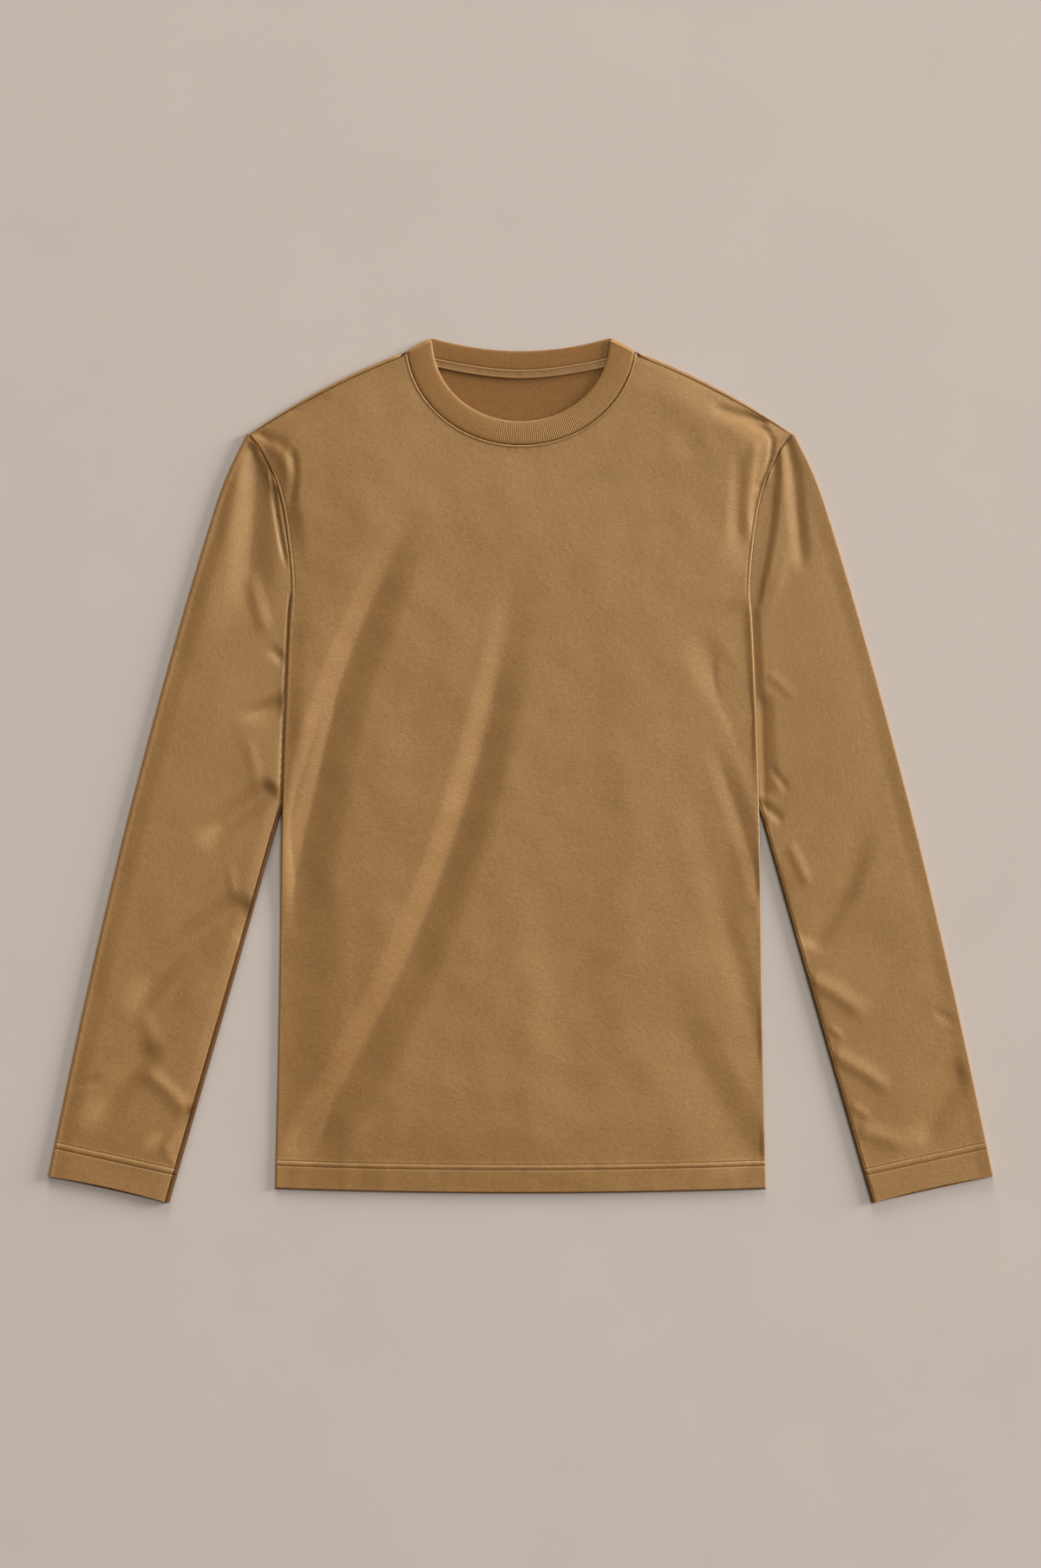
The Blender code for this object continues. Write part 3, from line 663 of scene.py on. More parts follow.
def make_sleeve(name, node, side, creases):
    """Pressed tube: upper wall, turn at the inner edge, lower wall, turn at the outer edge."""
    stations = np.linspace(0.0, 1.0, 200)
    outer = sleeve_place(stations, 0.0)
    inner = sleeve_place(stations, 1.0)
    widths = np.hypot(inner[0] - outer[0], inner[1] - outer[1])
    columns = []
    seams = []
    for share, turn in sleeve_columns:
        along = sleeve_along(np.array([share]))[:, 0]
        width = np.interp(along, stations, widths)
        x, y = sleeve_place(along, np.full_like(along, share))
        radius = sleeve_edge_radius(x, y, side)
        inset = radius / width * (1.0 - math.sin(turn))
        across = between(0.5 * inset, 1.0 - inset, share)
        x, y = sleeve_place(along, across)
        past_cuff = from_cuff(x, y)
        cloth_u = share * width
        if turn == 0.0:
            z = sleeve_height(x, y, across * width, (1.0 - across) * width, creases, side)
            # the upper wall stands back from the lower one at the open end
            pull = (CUFF_RECESS * math.sin(math.pi * min(share, 1.0)) ** 0.8
                    * np.clip(1.0 - past_cuff / CUFF_OPEN, 0.0, 1.0) ** 2)
            next_x, next_y = sleeve_place(along + 0.01, across)
            step = np.hypot(next_x - x, next_y - y)
            x = x + pull * (next_x - x) / step
            y = y + pull * (next_y - y) / step
        else:
            z = radius * (1.0 + math.cos(turn))
            cloth_u = 2.0 * width - cloth_u
        if turn == math.pi:
            for seam in CUFF_SEAMS:
                z = z + UNDER_DITCH * bump(past_cuff, seam, DITCH)
        # painted shade: the inner edge, and the upper wall's strip beside the underarm seam below the
        # armhole, get the dark jersey
        under = (share == 1.0) | (turn == 0.0) & ((1.0 - across) * width < UNDERARM_SEAM[side])
        columns.append((side * x, y, z, cloth_u, 0.6 * along,
                        past_cuff < CUFF_TURN, under & (y < UNDERARM_Y)))
        if turn in (0.0, math.pi):
            for seam in CUFF_SEAMS:
                seams.append((turn, seam, [np.interp(seam, past_cuff, v) for v in (side * x, y, z)]))
    grid = [np.stack(values, axis=1) for values in zip(*columns)]
    if side > 0:
        grid = [values[:, ::-1] for values in grid]
    sleeve = lay_sheet(name, (jersey, inside_and_painted_shade, jersey_painted_shade, inside_and_painted_shade), grid[:5], *grid[5:])
    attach(sleeve, "root")
    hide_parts(node)
    # the last column is the first one again, so its two places are left out
    rows = [np.array([place for turn, at, place in seams[:-2] if turn == wall and at == seam])
            for wall in (0.0, math.pi) for seam in CUFF_SEAMS]
    return sleeve, rows


sleeve_right, right_cuff_rows = make_sleeve("right_sleeve", "sleeve_right", -1, RIGHT_SLEEVE_CREASES)
sleeve_left, left_cuff_rows = make_sleeve("left_sleeve", "sleeve_left", 1, LEFT_SLEEVE_CREASES)


# ---- Front panel ---------------------------------------------------------------------------
# One piece of the jersey, laid on the back panel. Its sides roll down to the side seams, its
# hem is turned up and sewn with two rows, and long soft folds run down and out from the chest.

EDGE_TOP = 3.1 * MM          # height of the front's upper side at the side seams
SIDE_LIFT = 0.9 * MM         # and this much more on its left side, low down
FRONT_LEVEL = 6.3 * MM       # its upper side in the middle of the chest
FOLD_LEVEL = 7.2 * MM        # and round the two long folds, below it
LEFT_LEVEL = 6.2 * MM        # on its left side, above the waist
LOW_LEFT_LEVEL = 4.6 * MM    # and below it
NECK_LEVEL = 5.0 * MM
HEM_LEVEL = 3.6 * MM
FRONT_LEAST = 1.9 * MM       # lowest that its upper side can lie over the back panel
CHEST = (0.16, -0.10)        # a place, and how far on from it a change of level ends
WAIST = (0.04, -0.14)
RIGHT_HIP = (-0.03, -0.10)
LEFT_HIP = (-0.03, -0.05)
LEFT_HALF = (-0.04, 0.22)
HEM_SLOPE = 0.070            # widths over which the front comes down to its edges
NECK_SLOPE = 0.100
SHOULDER_SLOPE = 0.030
LEFT_SLOPE = 0.030
RIGHT_SLOPE = (0.018, 0.060)     # above and below the waist
SIDE_ROLL = 1.1 * MM
SEAM_ROLL = 0.8 * MM
HEM_ROLL = 0.9 * MM
NECK_GAP = 0.5 * MM
FRONT_HEM_SHORT = 0.9 * MM   # the front's hem stands back from the back panel's
ARMHOLE_SEAM = 2.9 * MM      # distance of the stitches from the armhole
DITCH_SHADE_WIDTH = 1.45 * MM     # width of the painted shade along the shoulder seam's ditch
FRONT_CUT_X = 0.7            # its place beside the back panel on the flat cloth
FRONT_SEAM = (0.0969, 0.0873, 0.3648)    # half width, depth and y of the centre of an ellipse

FRONT_HEM_ROWS = (0, 0.12, 0.35, 0.7, 1.2, 2, 3.5, 6, 9, 12, 15, 17.5, 18.7, 19.3, 19.7, 20.1,
                  20.5, 21, 21.7, 22.5, 23.2, 23.7, 24.1, 24.5, 24.9, 25.5, 26.5, 28.5)
FRONT_TOP_ROWS = (9, 7, 5.5, 4.4, 3.5, 2.7, 2, 1.4, 0.9, 0.5, 0.2, 0)
ARMHOLE_COLUMNS = (5, 4, 3.2, 2.6, 2.1, 1.6, 1.15, 0.75, 0.4, 0.15, 0)
ARMHOLE_WIDTH = 125.0        # half the panel's width outside the neck, for these columns

FRONT_CREASES = (
    # the two long folds from the chest to the right side and the hem's right corner
    (-2, 200, -197, -338, 36, 230, 40, 17, 28, 1.35, 0.35, -5.2),
    (-80, 236, -198, -150, -24, 130, 90, 16, 26, 1.6, 0.3, -4.9),
    (-110, 240, -184, 92, -6, 40, 40, 34, 18, 1.1, 0.1, 0.6),
    # fainter ones on the left side of the body
    (144, 130, 200, 32, -3, 40, 14, 22, 18, 1.0, 0.1, -1.3),
    (160, 30, 206, -112, 3, 50, 10, 13, 15, 1.0, 0.4, -1.3),
    (158, -90, 206, -256, 2, 60, 30, 60, 20, 0.8, 0.1, -1.3),
    (120, -170, 206, -336, -9, 100, 14, 48, 29, 1.0, 0.15, -2.0),
    (187, 150, 194, -20, 0, 20, 50, 55, 12, 1.0, 0.1, -1.4),
    (110, 20, 186, -240, 0, 90, 60, 60, 26, 1.0, 0.0, 1.0),
    (24, -60, 46, -330, 0, 90, 60, 36, 52, 1.0, 0.0, -1.1),
    (96, 150, 88, -260, 0, 120, 120, 34, 40, 1.0, 0.0, 0.7),
    (-120, -60, -104, -330, 0, 90, 60, 30, 34, 1.0, 0.0, 0.8),
    # right shoulder
    (-230, 288, -197, 273, 1, 8, 8, 7, 8, 1.3, 0.4, -1.5),
    (-196, 277, -200, 218, 5, 10, 16, 8, 6, 1.0, 0.4, -1.6),
    (-160, 322, -202, 304, 0, 14, 10, 9, 9, 1.0, 0.2, -0.9),
    (-214, 268, -202, 214, -1, 8, 12, 5, 6, 1.0, 0.3, 0.8),
    # left shoulder
    (160, 311, 213, 297, -2, 14, 6, 9, 8, 1.0, 0.4, -1.7),
    (193, 293, 214, 283, 4, 5, 4, 5, 5, 1.0, 0.6, -1.6),
    (214, 287, 201, 236, 4, 5, 7, 5, 5, 1.0, 0.6, -1.7),
    (203, 283, 195, 190, -4, 12, 22, 10, 6, 1.0, 0.3, 1.3),
    (186, 276, 184, 180, -2, 20, 30, 8, 10, 1.0, 0.1, -0.8),
    (140, 300, 146, 262, 0, 14, 14, 20, 18, 1.0, 0.0, -0.8),
)


def past_neck_seam(x, y):
    half_width, depth, centre_y = FRONT_SEAM
    return (np.hypot(x / half_width, (y - centre_y) / depth) - 1.0) * depth


def past(change, at):
    """Share of a soft change, given by where it begins and how far on it ends."""
    start, run = change
    return smooth((at - start) / run)


def front_height(x, y):
    """Upper side of the front panel."""
    half_width = body_half_width(y)
    from_side = half_width - np.abs(x)
    from_hem = y - hem_y(x)
    from_shoulder = np.where(np.abs(x) > NECK_X - 0.02, shoulder_seam_y(x) - y, 1.0)
    from_neck = past_neck_seam(x, y)
    at_side = tuck_lift(half_width, y) + EDGE_TOP
    at_side += np.where(x > 0.0, SIDE_LIFT * past(LEFT_HIP, y) * smooth(from_hem / 0.05), 0.0)
    middle = between(FRONT_LEVEL, FOLD_LEVEL, past(CHEST, y))
    left_side = between(LEFT_LEVEL, LOW_LEFT_LEVEL, past(WAIST, y))
    middle = between(middle, left_side, past(LEFT_HALF, x))
    middle = between(HEM_LEVEL, middle, smooth(from_hem / HEM_SLOPE) ** 0.7)
    side_slope = np.where(x > 0.0, LEFT_SLOPE, between(*RIGHT_SLOPE, past(RIGHT_HIP, y)))
    level = between(at_side, middle, smooth(from_side / side_slope))
    level = between(NECK_LEVEL, level, smooth(from_neck / NECK_SLOPE) ** 0.8)
    level = between(shoulder_fold(x), level, smooth(from_shoulder / SHOULDER_SLOPE))

    creases = crease_height(FRONT_CREASES, x, y)
    creases += 0.8 * MM * drift(x, y, 0.085, 1.0) + 0.3 * MM * drift(x, y, 0.026, 2.0)
    creases *= smooth(from_side / np.where(x > 0.0, 0.005, 0.013))
    creases *= smooth(from_hem / 0.016) * smooth(from_neck / 0.012)
    level += creases * smooth(from_shoulder / 0.006)
    level = np.maximum(level, tuck_lift(x, y) + FRONT_LEAST)
    # rolled edges, and a pressed ridge along the side
    level -= roll_down(from_side, SIDE_ROLL) + 0.9 * roll_down(from_shoulder, SEAM_ROLL)
    level -= roll_down(from_hem, HEM_ROLL)
    level += 0.12 * MM * smooth(y / 0.06) * bump(from_side, 1.9 * MM, 1.5 * MM)
    # the armhole's edge seam, and the turned hem
    armhole = smooth((y - UNDERARM_Y) / 0.01) * smooth((0.262 - y) / 0.02)
    level -= 0.4 * MM * armhole * bump(from_side, ARMHOLE_SEAM, 0.8 * MM)
    level += hem_relief(from_hem, *HEM_SEAMS)
    return level + 0.22 * MM * drift(x, 0.3 * y, 0.011, 5.0) * smooth((0.030 - from_hem) / 0.006)


def ellipse_line(ellipse, end_y, shares, distance=0.0):
    """x and y on the lower part of an ellipse, from -1 to 1 between its ends, or outside it."""
    half_width, depth, centre_y = ellipse
    angle = shares * math.acos((centre_y - end_y) / depth)
    return (half_width + distance) * np.sin(angle), centre_y - (depth + distance) * np.cos(angle)


def neck_line(distance, shares):
    """Line on the front panel at a distance outside the neckband's seam."""
    return ellipse_line(FRONT_SEAM, NECK_Y, shares, distance)


armhole_shares = 1.0 - np.array(ARMHOLE_COLUMNS) / ARMHOLE_WIDTH
inner_shares = (1.0 - (1.0 - np.linspace(0.0, 1.0, 53)[1:-1]) ** 1.3) * armhole_shares[0]
front_columns = body_columns(np.linspace(0.0, 1.0, 31), np.concatenate((inner_shares, armhole_shares)),
                             lambda shares: neck_line(NECK_GAP, shares), shoulder_seam_y)
front_rows = np.concatenate((np.linspace(0.0, 0.82, 150)[1:], np.linspace(0.82, 1.0, 56)[1:-1]))
front_x, front_y = body_places(front_columns, FRONT_HEM_ROWS, front_rows, FRONT_TOP_ROWS)
front_hem = front_y - hem_y(front_x) < HEM_TURN
front_z = front_height(front_x, front_y)
front_y += FRONT_HEM_SHORT * np.clip(1.0 - (front_y - hem_y(front_x)) / 0.010, 0.0, 1.0)
# painted shade: the ditch along the shoulder seam gets the dark jersey
painted_shade_in_ditch = (np.abs(front_x) > NECK_X) & (shoulder_seam_y(front_x) - front_y < DITCH_SHADE_WIDTH)
front = lay_sheet("front_panel", (jersey, inside_and_painted_shade, jersey_painted_shade, inside_and_painted_shade),
                  (front_x, front_y, front_z, front_x + FRONT_CUT_X, front_y), front_hem, painted_shade_in_ditch)
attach(front, "root")
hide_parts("front")

# The neck seam is sewn down on the front: a narrow raised strip along the band.
STRIP_WIDTH = 2.7 * MM
STRIP_CLOTH = 0.3 * MM
STRIP_SECTION = (            # share of the width, height over the front in millimetres
    (0.20, -0.25), (0.24, 0.12), (0.36, 0.36), (0.55, 0.45), (0.75, 0.38), (0.90, 0.10),
    (1.00, -0.25),
)

strip_shares = np.linspace(-0.985, 0.985, 241)
strip_across, strip_height = np.array(STRIP_SECTION).T
strip_lines = [neck_line(STRIP_WIDTH * part, strip_shares) for part in strip_across]
strip_x = np.stack([line[0] for line in strip_lines], axis=1)
strip_y = np.stack([line[1] for line in strip_lines], axis=1)
strip_z = front_height(strip_x, strip_y) + strip_height * MM
strip = lay_sheet("neck_seam", (jersey,), (strip_x, strip_y, strip_z, strip_x + FRONT_CUT_X, strip_y),
                  thickness=STRIP_CLOTH)
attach(strip, "root")


# ---- Neckband ------------------------------------------------------------------------------
# A strip of one by one rib, folded lengthwise and sewn into a ring at the neck. Laid out, it
# creases at the shoulders: the front half lies on the front panel, the other half on the back.

BAND_CLOTH = 1.8 * MM
BAND_HEIGHT = 0.02
FRONT_FOLD = (0.0751, 0.0681, 0.3656)
BACK_FOLD_Y = 0.3576
TIP_X = 0.0751
TIP_Y = 0.3685
BAND_MIDDLE_Z = 2.9 * MM     # underside of the front half
BAND_SIDE_Z = 3.2 * MM
FRONT_REACH = (0.980, 0.973)     # shares of the front and back halves' seam and fold that
BACK_REACH = (0.970, 0.962)      # lie flat; the rest is in the turns at the creases
FRONT_RIBS = 154
BACK_RIBS = 102
RIB_STEPS = 6
RIB_HEIGHT = 0.30 * MM
RIB_PITCH = 1.6 * MM
TIP_RADIUS = 2.6 * MM
TIP_REACH = 0.6 * BAND_CLOTH     # how far the turn at a crease stands out past its fold
# Section of the folded strip: share across from the seam to the fold, share of the thickness
# above its middle, and how much of the rib shows there.
BAND_SECTION = (
    (0.000, 0.10, 0.0), (0.010, 0.55, 0.2), (0.035, 0.82, 0.6), (0.080, 0.94, 1.0),
    (0.200, 1.05, 1.0), (0.350, 1.12, 1.0), (0.500, 1.15, 1.0), (0.650, 1.13, 1.0),
    (0.800, 1.08, 1.0), (0.890, 1.00, 0.9), (0.945, 0.86, 0.6), (0.975, 0.64, 0.35),
    (0.993, 0.34, 0.2), (1.000, 0.00, 0.1), (0.993, -0.34, 0.1), (0.975, -0.66, 0.1),
    (0.940, -0.90, 0.1), (0.850, -1.00, 0.1), (0.500, -1.00, 0.1), (0.150, -1.00, 0.1),
    (0.030, -0.90, 0.0), (0.000, -0.50, 0.0),
)


def front_band_lines(share):
    """Seam point and fold point of the front half, as arrays of x, y."""
    return (np.array(ellipse_line(FRONT_SEAM, NECK_Y, FRONT_REACH[0] * share)),
            np.array(ellipse_line(FRONT_FOLD, TIP_Y, FRONT_REACH[1] * share)))


def back_band_lines(share):
    seam_x = NECK_X * BACK_REACH[0] * share
    fold_x = NECK_X * BACK_REACH[1] * share
    fold_x = fold_x - (NECK_X - TIP_X) * fold_x ** 3 / NECK_X ** 3
    return (np.array((seam_x, back_seam_y(seam_x))),
            np.array((fold_x, BACK_FOLD_Y + (TIP_Y - BACK_FOLD_Y) * (fold_x / TIP_X) ** 2)))


def bend_section(turn, side, front_z, back_z):
    """Section in the turn at a crease, from 0 at the front half to pi at the back half."""
    front_seam, front_fold = front_band_lines(side)
    back_seam, back_fold = back_band_lines(side)
    seam = between(front_seam, back_seam, turn / math.pi)
    fold = between(front_fold, back_fold, turn / math.pi)
    run = fold - seam
    out = side * np.array((run[1], -run[0])) / np.linalg.norm(run)
    reach = 0.5 * (front_z - back_z) * math.sin(turn)
    return (seam + out * reach, fold + out * reach,
            between(back_z, front_z, 0.5 + 0.5 * math.cos(turn)), turn, 0.0)


def band_sections():
    """Seam point, fold point, height, turn and rib of each section of the ring."""
    half_cloth = 0.5 * BAND_CLOTH
    back_z = half_cloth + 0.1 * RIB_HEIGHT
    side_z = BAND_SIDE_Z + half_cloth
    turns = np.linspace(0.0, math.pi, 15)[1:-1]
    sections = []
    for step in range(FRONT_RIBS * RIB_STEPS + 1):
        share = 2.0 * step / (FRONT_RIBS * RIB_STEPS) - 1.0
        z = between(BAND_MIDDLE_Z, BAND_SIDE_Z, abs(share) ** 3) + half_cloth
        sections.append((*front_band_lines(share), z, 0.0, step / RIB_STEPS))
    sections += [bend_section(turn, 1.0, side_z, back_z) for turn in turns]
    for step in range(BACK_RIBS * RIB_STEPS + 1):
        share = 1.0 - 2.0 * step / (BACK_RIBS * RIB_STEPS)
        sections.append((*back_band_lines(share), back_z, math.pi, step / RIB_STEPS))
    sections += [bend_section(turn, -1.0, side_z, back_z) for turn in turns[::-1]]
    return sections


def band_grid():
    """Closed ring with a closed section, as a grid of points and their places on the rib."""
    sections = band_sections()
    outermost = max(abs(fold[0]) + TIP_REACH * math.sin(turn) for _, fold, _, turn, _ in sections)
    across, depth, rib_share = np.array(BAND_SECTION + BAND_SECTION[:1]).T
    places = []
    for seam, fold, z, angle, rib in sections:
        run = fold - seam
        from_crease = outermost - abs(fold[0]) - TIP_REACH * math.sin(angle)
        run = run * (1.0 - roll_down(from_crease, TIP_RADIUS) / np.linalg.norm(run))
        out = np.array((run[1], -run[0])) / np.linalg.norm(run)
        if seam[0] < 0.0 and 0.0 < angle < math.pi:
            out = -out
        upward = math.cos(angle)
        outward = math.sin(angle)
        rib_height = RIB_HEIGHT * (0.5 + 0.5 * math.cos(2.0 * math.pi * rib))
        thick = 0.5 * BAND_CLOTH * depth
        face = thick + rib_height * rib_share * np.sign(depth)
        line = seam[:, None] + run[:, None] * across + out[:, None] * outward * face
        places.append((line[0], line[1], z + upward * face))
    x, y, z = (np.array([place[axis] for place in places + places[:1]]) for axis in range(3))
    ribs = np.array([section[4] for section in sections + sections[:1]])
    # the quarter-rib offset puts the colour wave's dark half in the hollows between the ribs, as
    # painted shade
    cloth_u = np.repeat((ribs + 0.25)[:, None] * RIB_PITCH, x.shape[1], axis=1)
    cloth_v = np.repeat(across[None, :] * BAND_HEIGHT, len(x), axis=0)
    return x, y, np.maximum(z, 0.0), cloth_u, cloth_v


neckband = lay_grid("neckband_rib", *band_grid())[0]
bpy.ops.object.mode_set(mode="EDIT")
bpy.ops.mesh.select_all(action="SELECT")
bpy.ops.mesh.remove_doubles(threshold=0.002 * MM)
bpy.ops.mesh.normals_make_consistent(inside=False)
bpy.ops.object.mode_set(mode="OBJECT")
bpy.ops.object.shade_smooth()
rib_knit = knit_material("caramel_rib", (0.190, 0.077, 0.012, 1.0), (0.278, 0.122, 0.024, 1.0),
                         RIB_PITCH, 0.45, 0.05 * MM, 0.50)
neckband.data.materials.append(rib_knit)
# painted shade: the back half, which lies deeper, gets a duller and darker copy of the rib
painted_shade_rib = knit_material("rib_painted_shade", (0.176, 0.078, 0.020, 1.0), (0.264, 0.126, 0.040, 1.0),
                          RIB_PITCH, 0.45, 0.05 * MM, 0.62)
neckband.data.materials.append(painted_shade_rib)
for face in neckband.data.polygons:
    face.material_index = 1 if face.center.z < BAND_MIDDLE_Z else 0
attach(neckband, "root")
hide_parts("neckband")


# ---- Neck tape -----------------------------------------------------------------------------
# A narrow strip of the jersey that covers the back neck seam on the inside. It is turned
# under at both edges and stitched down along them.

TAPE_WIDTH = 7.0 * MM
TAPE_HALF = 0.0860
TAPE_CLOTH = 0.6 * MM
TAPE_SECTION = (             # share of the width down from the seam, and height in millimetres
    (0.00, 1.30), (0.02, 1.80), (0.06, 2.10), (0.12, 2.15), (0.18, 1.95), (0.30, 1.90),
    (0.50, 1.92), (0.70, 1.90), (0.80, 1.95), (0.86, 2.20), (0.92, 2.25), (0.96, 2.00),
    (0.99, 1.60), (1.00, 1.05),
)


def tape_line(part, x):
    return back_seam_y(x) - 0.35 * MM - TAPE_WIDTH * part


tape_part, tape_height = np.array(TAPE_SECTION).T
tape_x = np.repeat(np.linspace(-TAPE_HALF, TAPE_HALF, 161)[:, None], len(TAPE_SECTION), axis=1)
tape_y = tape_line(tape_part[None, :], tape_x)
tape_z = np.repeat(tape_height[None, :] * MM, len(tape_x), axis=0)
tape_z += 0.10 * MM * drift(tape_x, tape_y, 0.006, 9.0)
tape_knit = knit_material("caramel_tape", (0.158, 0.063, 0.012, 1.0), (0.224, 0.094, 0.021, 1.0),
                          WALE_PITCH, 0.0, 0.06 * MM, 0.55)
tape_grid = [values[::-1] for values in (tape_x, tape_y, tape_z, tape_x, tape_y)]
tape = lay_sheet("neck_tape_strip", (tape_knit,), tape_grid, thickness=TAPE_CLOTH)
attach(tape, "root")
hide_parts("neck_tape")


# ---- Stitching -----------------------------------------------------------------------------
# Rows of short stitches of a darker thread: two along each hem and cuff, outside and inside,
# and one along the neckline, each armhole and the tape's lower edge. One stitch is modelled.

STITCH_LENGTH = 2.15 * MM
STITCH_WIDTH = 0.46 * MM
STITCH_HEIGHT = 0.30 * MM
STITCH_PITCH = 2.85 * MM
THREAD_PITCH = 0.3 * MM
NECKLINE_SEAM = 3.05 * MM    # distance of the stitches from the neckband's seam
UNDERSIDE_ROW = 0.14 * MM    # height of a row that shows on the side towards the floor
TAPE_ROW = (0.89, 2.28 * MM)     # share of the tape's width, and height

bpy.ops.object.select_all(action="DESELECT")
bpy.ops.mesh.primitive_uv_sphere_add(segments=6, ring_count=5, radius=0.5)
pattern = bpy.context.object
stitch_points = np.array([corner.co for corner in pattern.data.vertices])[:, (2, 0, 1)]
stitch_points *= (STITCH_LENGTH, STITCH_WIDTH, STITCH_HEIGHT)
stitch_faces = [tuple(face.vertices) for face in pattern.data.polygons]
bpy.data.objects.remove(pattern)

thread = knit_material("dark_thread", (0.120, 0.048, 0.010, 1.0), (0.165, 0.070, 0.016, 1.0),
                       THREAD_PITCH, 0.0, 0.02 * MM, 0.55)
pale_thread = knit_material("pale_thread", (0.30, 0.145, 0.042, 1.0), (0.38, 0.19, 0.058, 1.0),
                            THREAD_PITCH, 0.0, 0.02 * MM, 0.50)


def sew(name, rows, material):
    """Stitches along rows of points, as one mesh."""
    points = []
    faces = []
    for row in rows:
        row = np.asarray(row)
        steps = np.linalg.norm(np.diff(row, axis=0), axis=1)
        reached = np.concatenate(([0.0], np.cumsum(steps)))
        middles = np.arange(0.6 * STITCH_PITCH, reached[-1] - 0.5 * STITCH_PITCH, STITCH_PITCH)
        for middle in middles:
            start, place, end = (np.array([np.interp(at, reached, row[:, axis]) for axis in range(3)])
                                 for at in (middle - 0.5 * STITCH_LENGTH, middle,
                                            middle + 0.5 * STITCH_LENGTH))
            ahead = (end - start) / np.linalg.norm(end - start)
            aside = np.array((-ahead[1], ahead[0], 0.0)) / math.hypot(ahead[0], ahead[1])
            above = np.cross(ahead, aside)
            first = len(points) * len(stitch_points)
            points.append(place + stitch_points @ np.array((ahead, aside, above)))
            faces += [tuple(corner + first for corner in face) for face in stitch_faces]
    mesh = bpy.data.meshes.new(name)
    corners = np.concatenate(points)
    mesh.from_pydata(corners.tolist(), [], faces)
    cloth_map = mesh.uv_layers.new(name="cloth")
    loops = np.empty(len(mesh.loops), int)
    mesh.loops.foreach_get("vertex_index", loops)
    cloth_map.data.foreach_set("uv", corners[loops][:, :2].ravel())
    mesh.materials.append(material)
    stitches = bpy.data.objects.new(name, mesh)
    bpy.context.scene.collection.objects.link(stitches)
    bpy.ops.object.select_all(action="DESELECT")
    stitches.select_set(True)
    bpy.context.view_layer.objects.active = stitches
    bpy.ops.object.shade_smooth()
    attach(stitches, "root")
    return stitches


def level_row(x, y, height):
    return np.stack((x, y, np.full_like(x, height)), axis=1)


def front_row(x, y):
    return np.stack((x, y, front_height(x, y) + 0.06 * MM), axis=1)


hem_x = np.linspace(-1.0, 1.0, 161) * (body_half_width(HEM_Y) - 0.8 * MM)
hem_rows = [front_row(hem_x, hem_y(hem_x) + seam) for seam in HEM_SEAMS]
hem_rows += [level_row(hem_x, hem_y(hem_x) + seam, UNDERSIDE_ROW) for seam in HEM_SEAMS]
hem_stitches = sew("hem_stitches", hem_rows, thread)
for name, rows in (("right_cuff_stitches", right_cuff_rows), ("left_cuff_stitches", left_cuff_rows)):
    lifted = [row + (0.0, 0.0, 0.05 * MM if row[0, 2] > MM else -0.10 * MM) for row in rows]
    sew(name, lifted, thread)
armhole_y = np.linspace(0.164, 0.268, 60)
armhole_x = body_half_width(armhole_y) - ARMHOLE_SEAM
armhole_stitches = sew("armhole_stitches",
                       [front_row(side * armhole_x, armhole_y) for side in (-1, 1)], thread)
neckline = neck_line(NECKLINE_SEAM, np.linspace(-0.975, 0.975, 160))
neckline_stitches = sew("neckline_stitches", [front_row(*neckline)], thread)
tape_row_x = np.linspace(-TAPE_HALF + 0.002, TAPE_HALF - 0.002, 120)
tape_row = level_row(tape_row_x, tape_line(TAPE_ROW[0], tape_row_x), TAPE_ROW[1])
tape_stitches = sew("tape_stitches", [tape_row], pale_thread)


# ---- Floor, light and camera ---------------------------------------------------------------
# A plain pale floor, broad soft lights low from the shirt's left side and from beyond its neck,
# a smaller one from high up between them, and an even fill from all round.

SOFT_WHITE = (1.0, 0.985, 0.965)

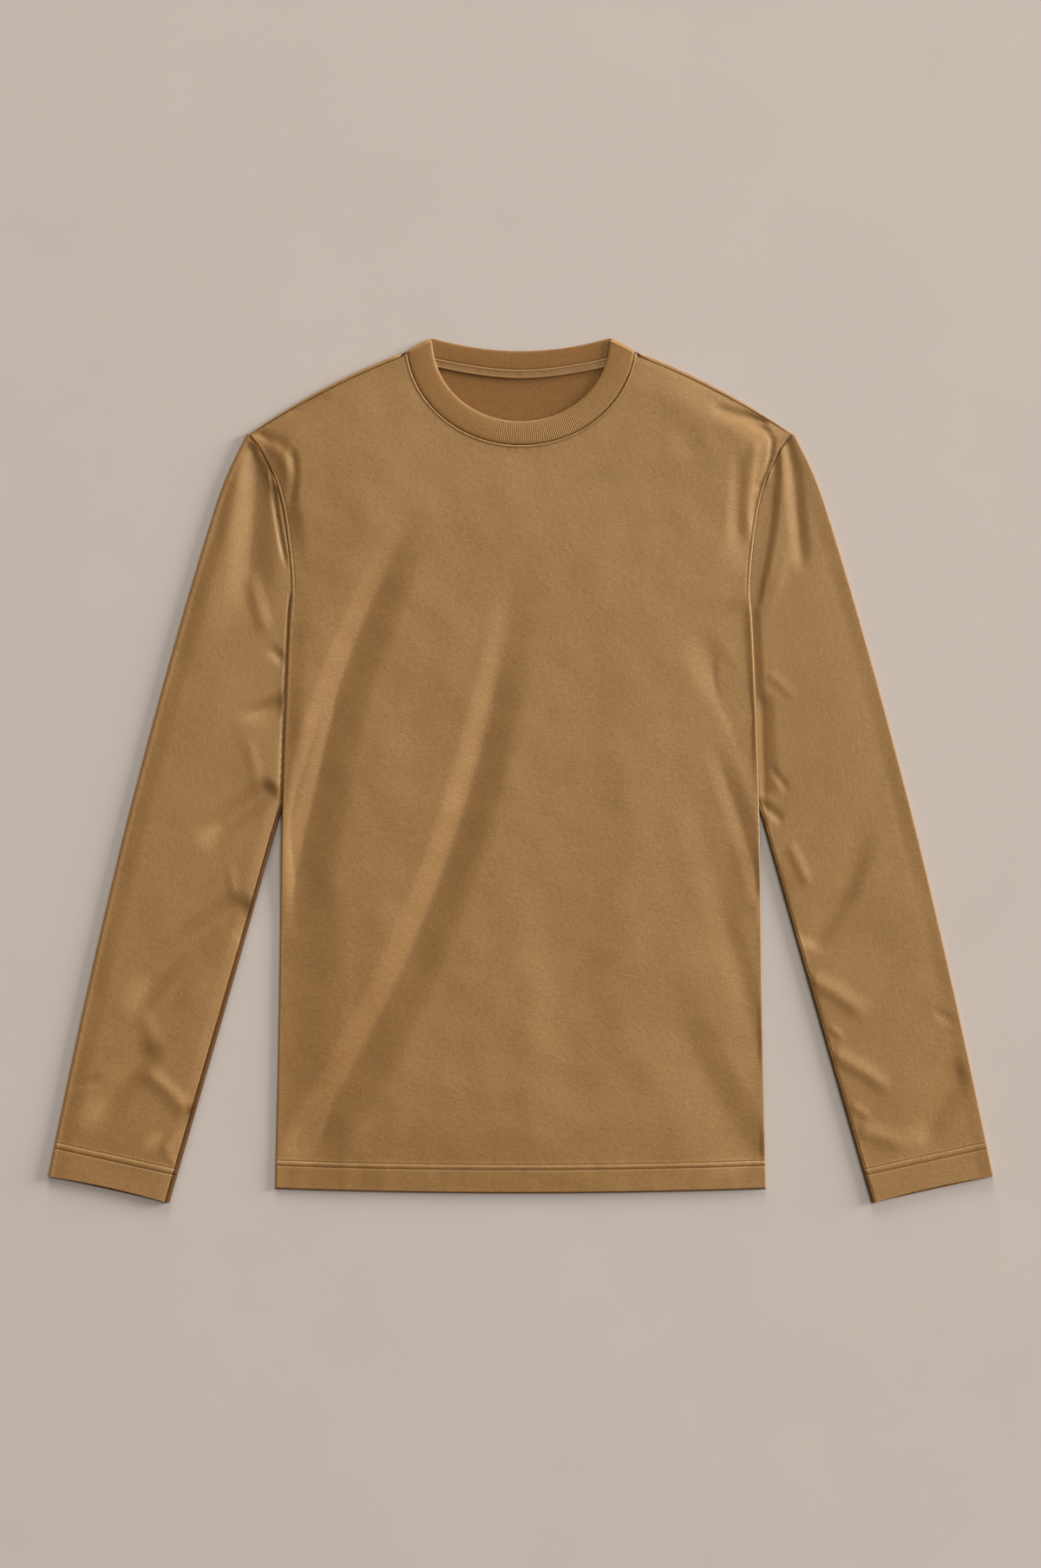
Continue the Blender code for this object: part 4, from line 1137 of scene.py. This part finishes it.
bpy.ops.object.select_all(action="DESELECT")
bpy.ops.mesh.primitive_plane_add(size=12.0, location=(0.0, 0.0, -0.0002))
floor = bpy.context.object
floor.name = "floor"
floor_paint = bpy.data.materials.new("pale_floor")
floor_paint.use_nodes = True
paint = floor_paint.node_tree
floor_shader = paint.nodes["Principled BSDF"]
floor_place = add_node(paint, "ShaderNodeTexCoord")
cloud = add_noise(paint, floor_place.outputs["Object"], 9.0, 4.0)
floor_colour = add_node(paint, "ShaderNodeMix", {
    "Factor": cloud, 6: (0.490, 0.426, 0.380, 1.0), 7: (0.526, 0.458, 0.409, 1.0)},
    data_type="RGBA")
paint.links.new(floor_colour.outputs[2], floor_shader.inputs["Base Color"])
floor_shader.inputs["Roughness"].default_value = 0.9
floor_shader.inputs["Specular IOR Level"].default_value = 0.1
floor.data.materials.append(floor_paint)


def soft_light(name, azimuth, height, distance, size, power):
    """Round soft light that faces the shirt. Azimuth runs from +X towards +Y, in degrees."""
    azimuth = math.radians(azimuth)
    height = math.radians(height)
    towards = Vector((math.cos(azimuth) * math.cos(height),
                      math.sin(azimuth) * math.cos(height), math.sin(height)))
    lamp = bpy.data.lights.new(name, "AREA")
    lamp.shape = "DISK"
    lamp.size = size
    lamp.energy = power
    lamp.color = SOFT_WHITE
    light = bpy.data.objects.new(name, lamp)
    light.location = towards * distance
    light.rotation_mode = "QUATERNION"
    light.rotation_quaternion = towards.to_track_quat("Z", "Y")
    bpy.context.scene.collection.objects.link(light)


soft_light("side_light", 17, 14, 30.0, 13.0, 14400.0)
soft_light("top_light", 90, 16, 30.0, 14.5, 6800.0)
soft_light("high_light", 38, 66, 10.0, 3.5, 335.0)

world = bpy.data.worlds.new("soft_fill")
world.use_nodes = True
fill = world.node_tree.nodes["Background"]
fill.inputs["Color"].default_value = (1.0, 0.985, 0.97, 1.0)
fill.inputs["Strength"].default_value = 0.20
bpy.context.scene.world = world

CAMERA_HEIGHT = 3.7
FIELD_HEIGHT = 1.3372        # length of the floor that the picture shows
SENSOR = 36.0
camera_data = bpy.data.cameras.new("camera")
camera_data.sensor_width = SENSOR
camera_data.lens = SENSOR * CAMERA_HEIGHT / FIELD_HEIGHT
camera = bpy.data.objects.new("camera", camera_data)
camera.location = (-0.0002, -0.0115, CAMERA_HEIGHT)
bpy.context.scene.collection.objects.link(camera)
bpy.context.scene.camera = camera
bpy.context.scene.view_settings.view_transform = "Standard"
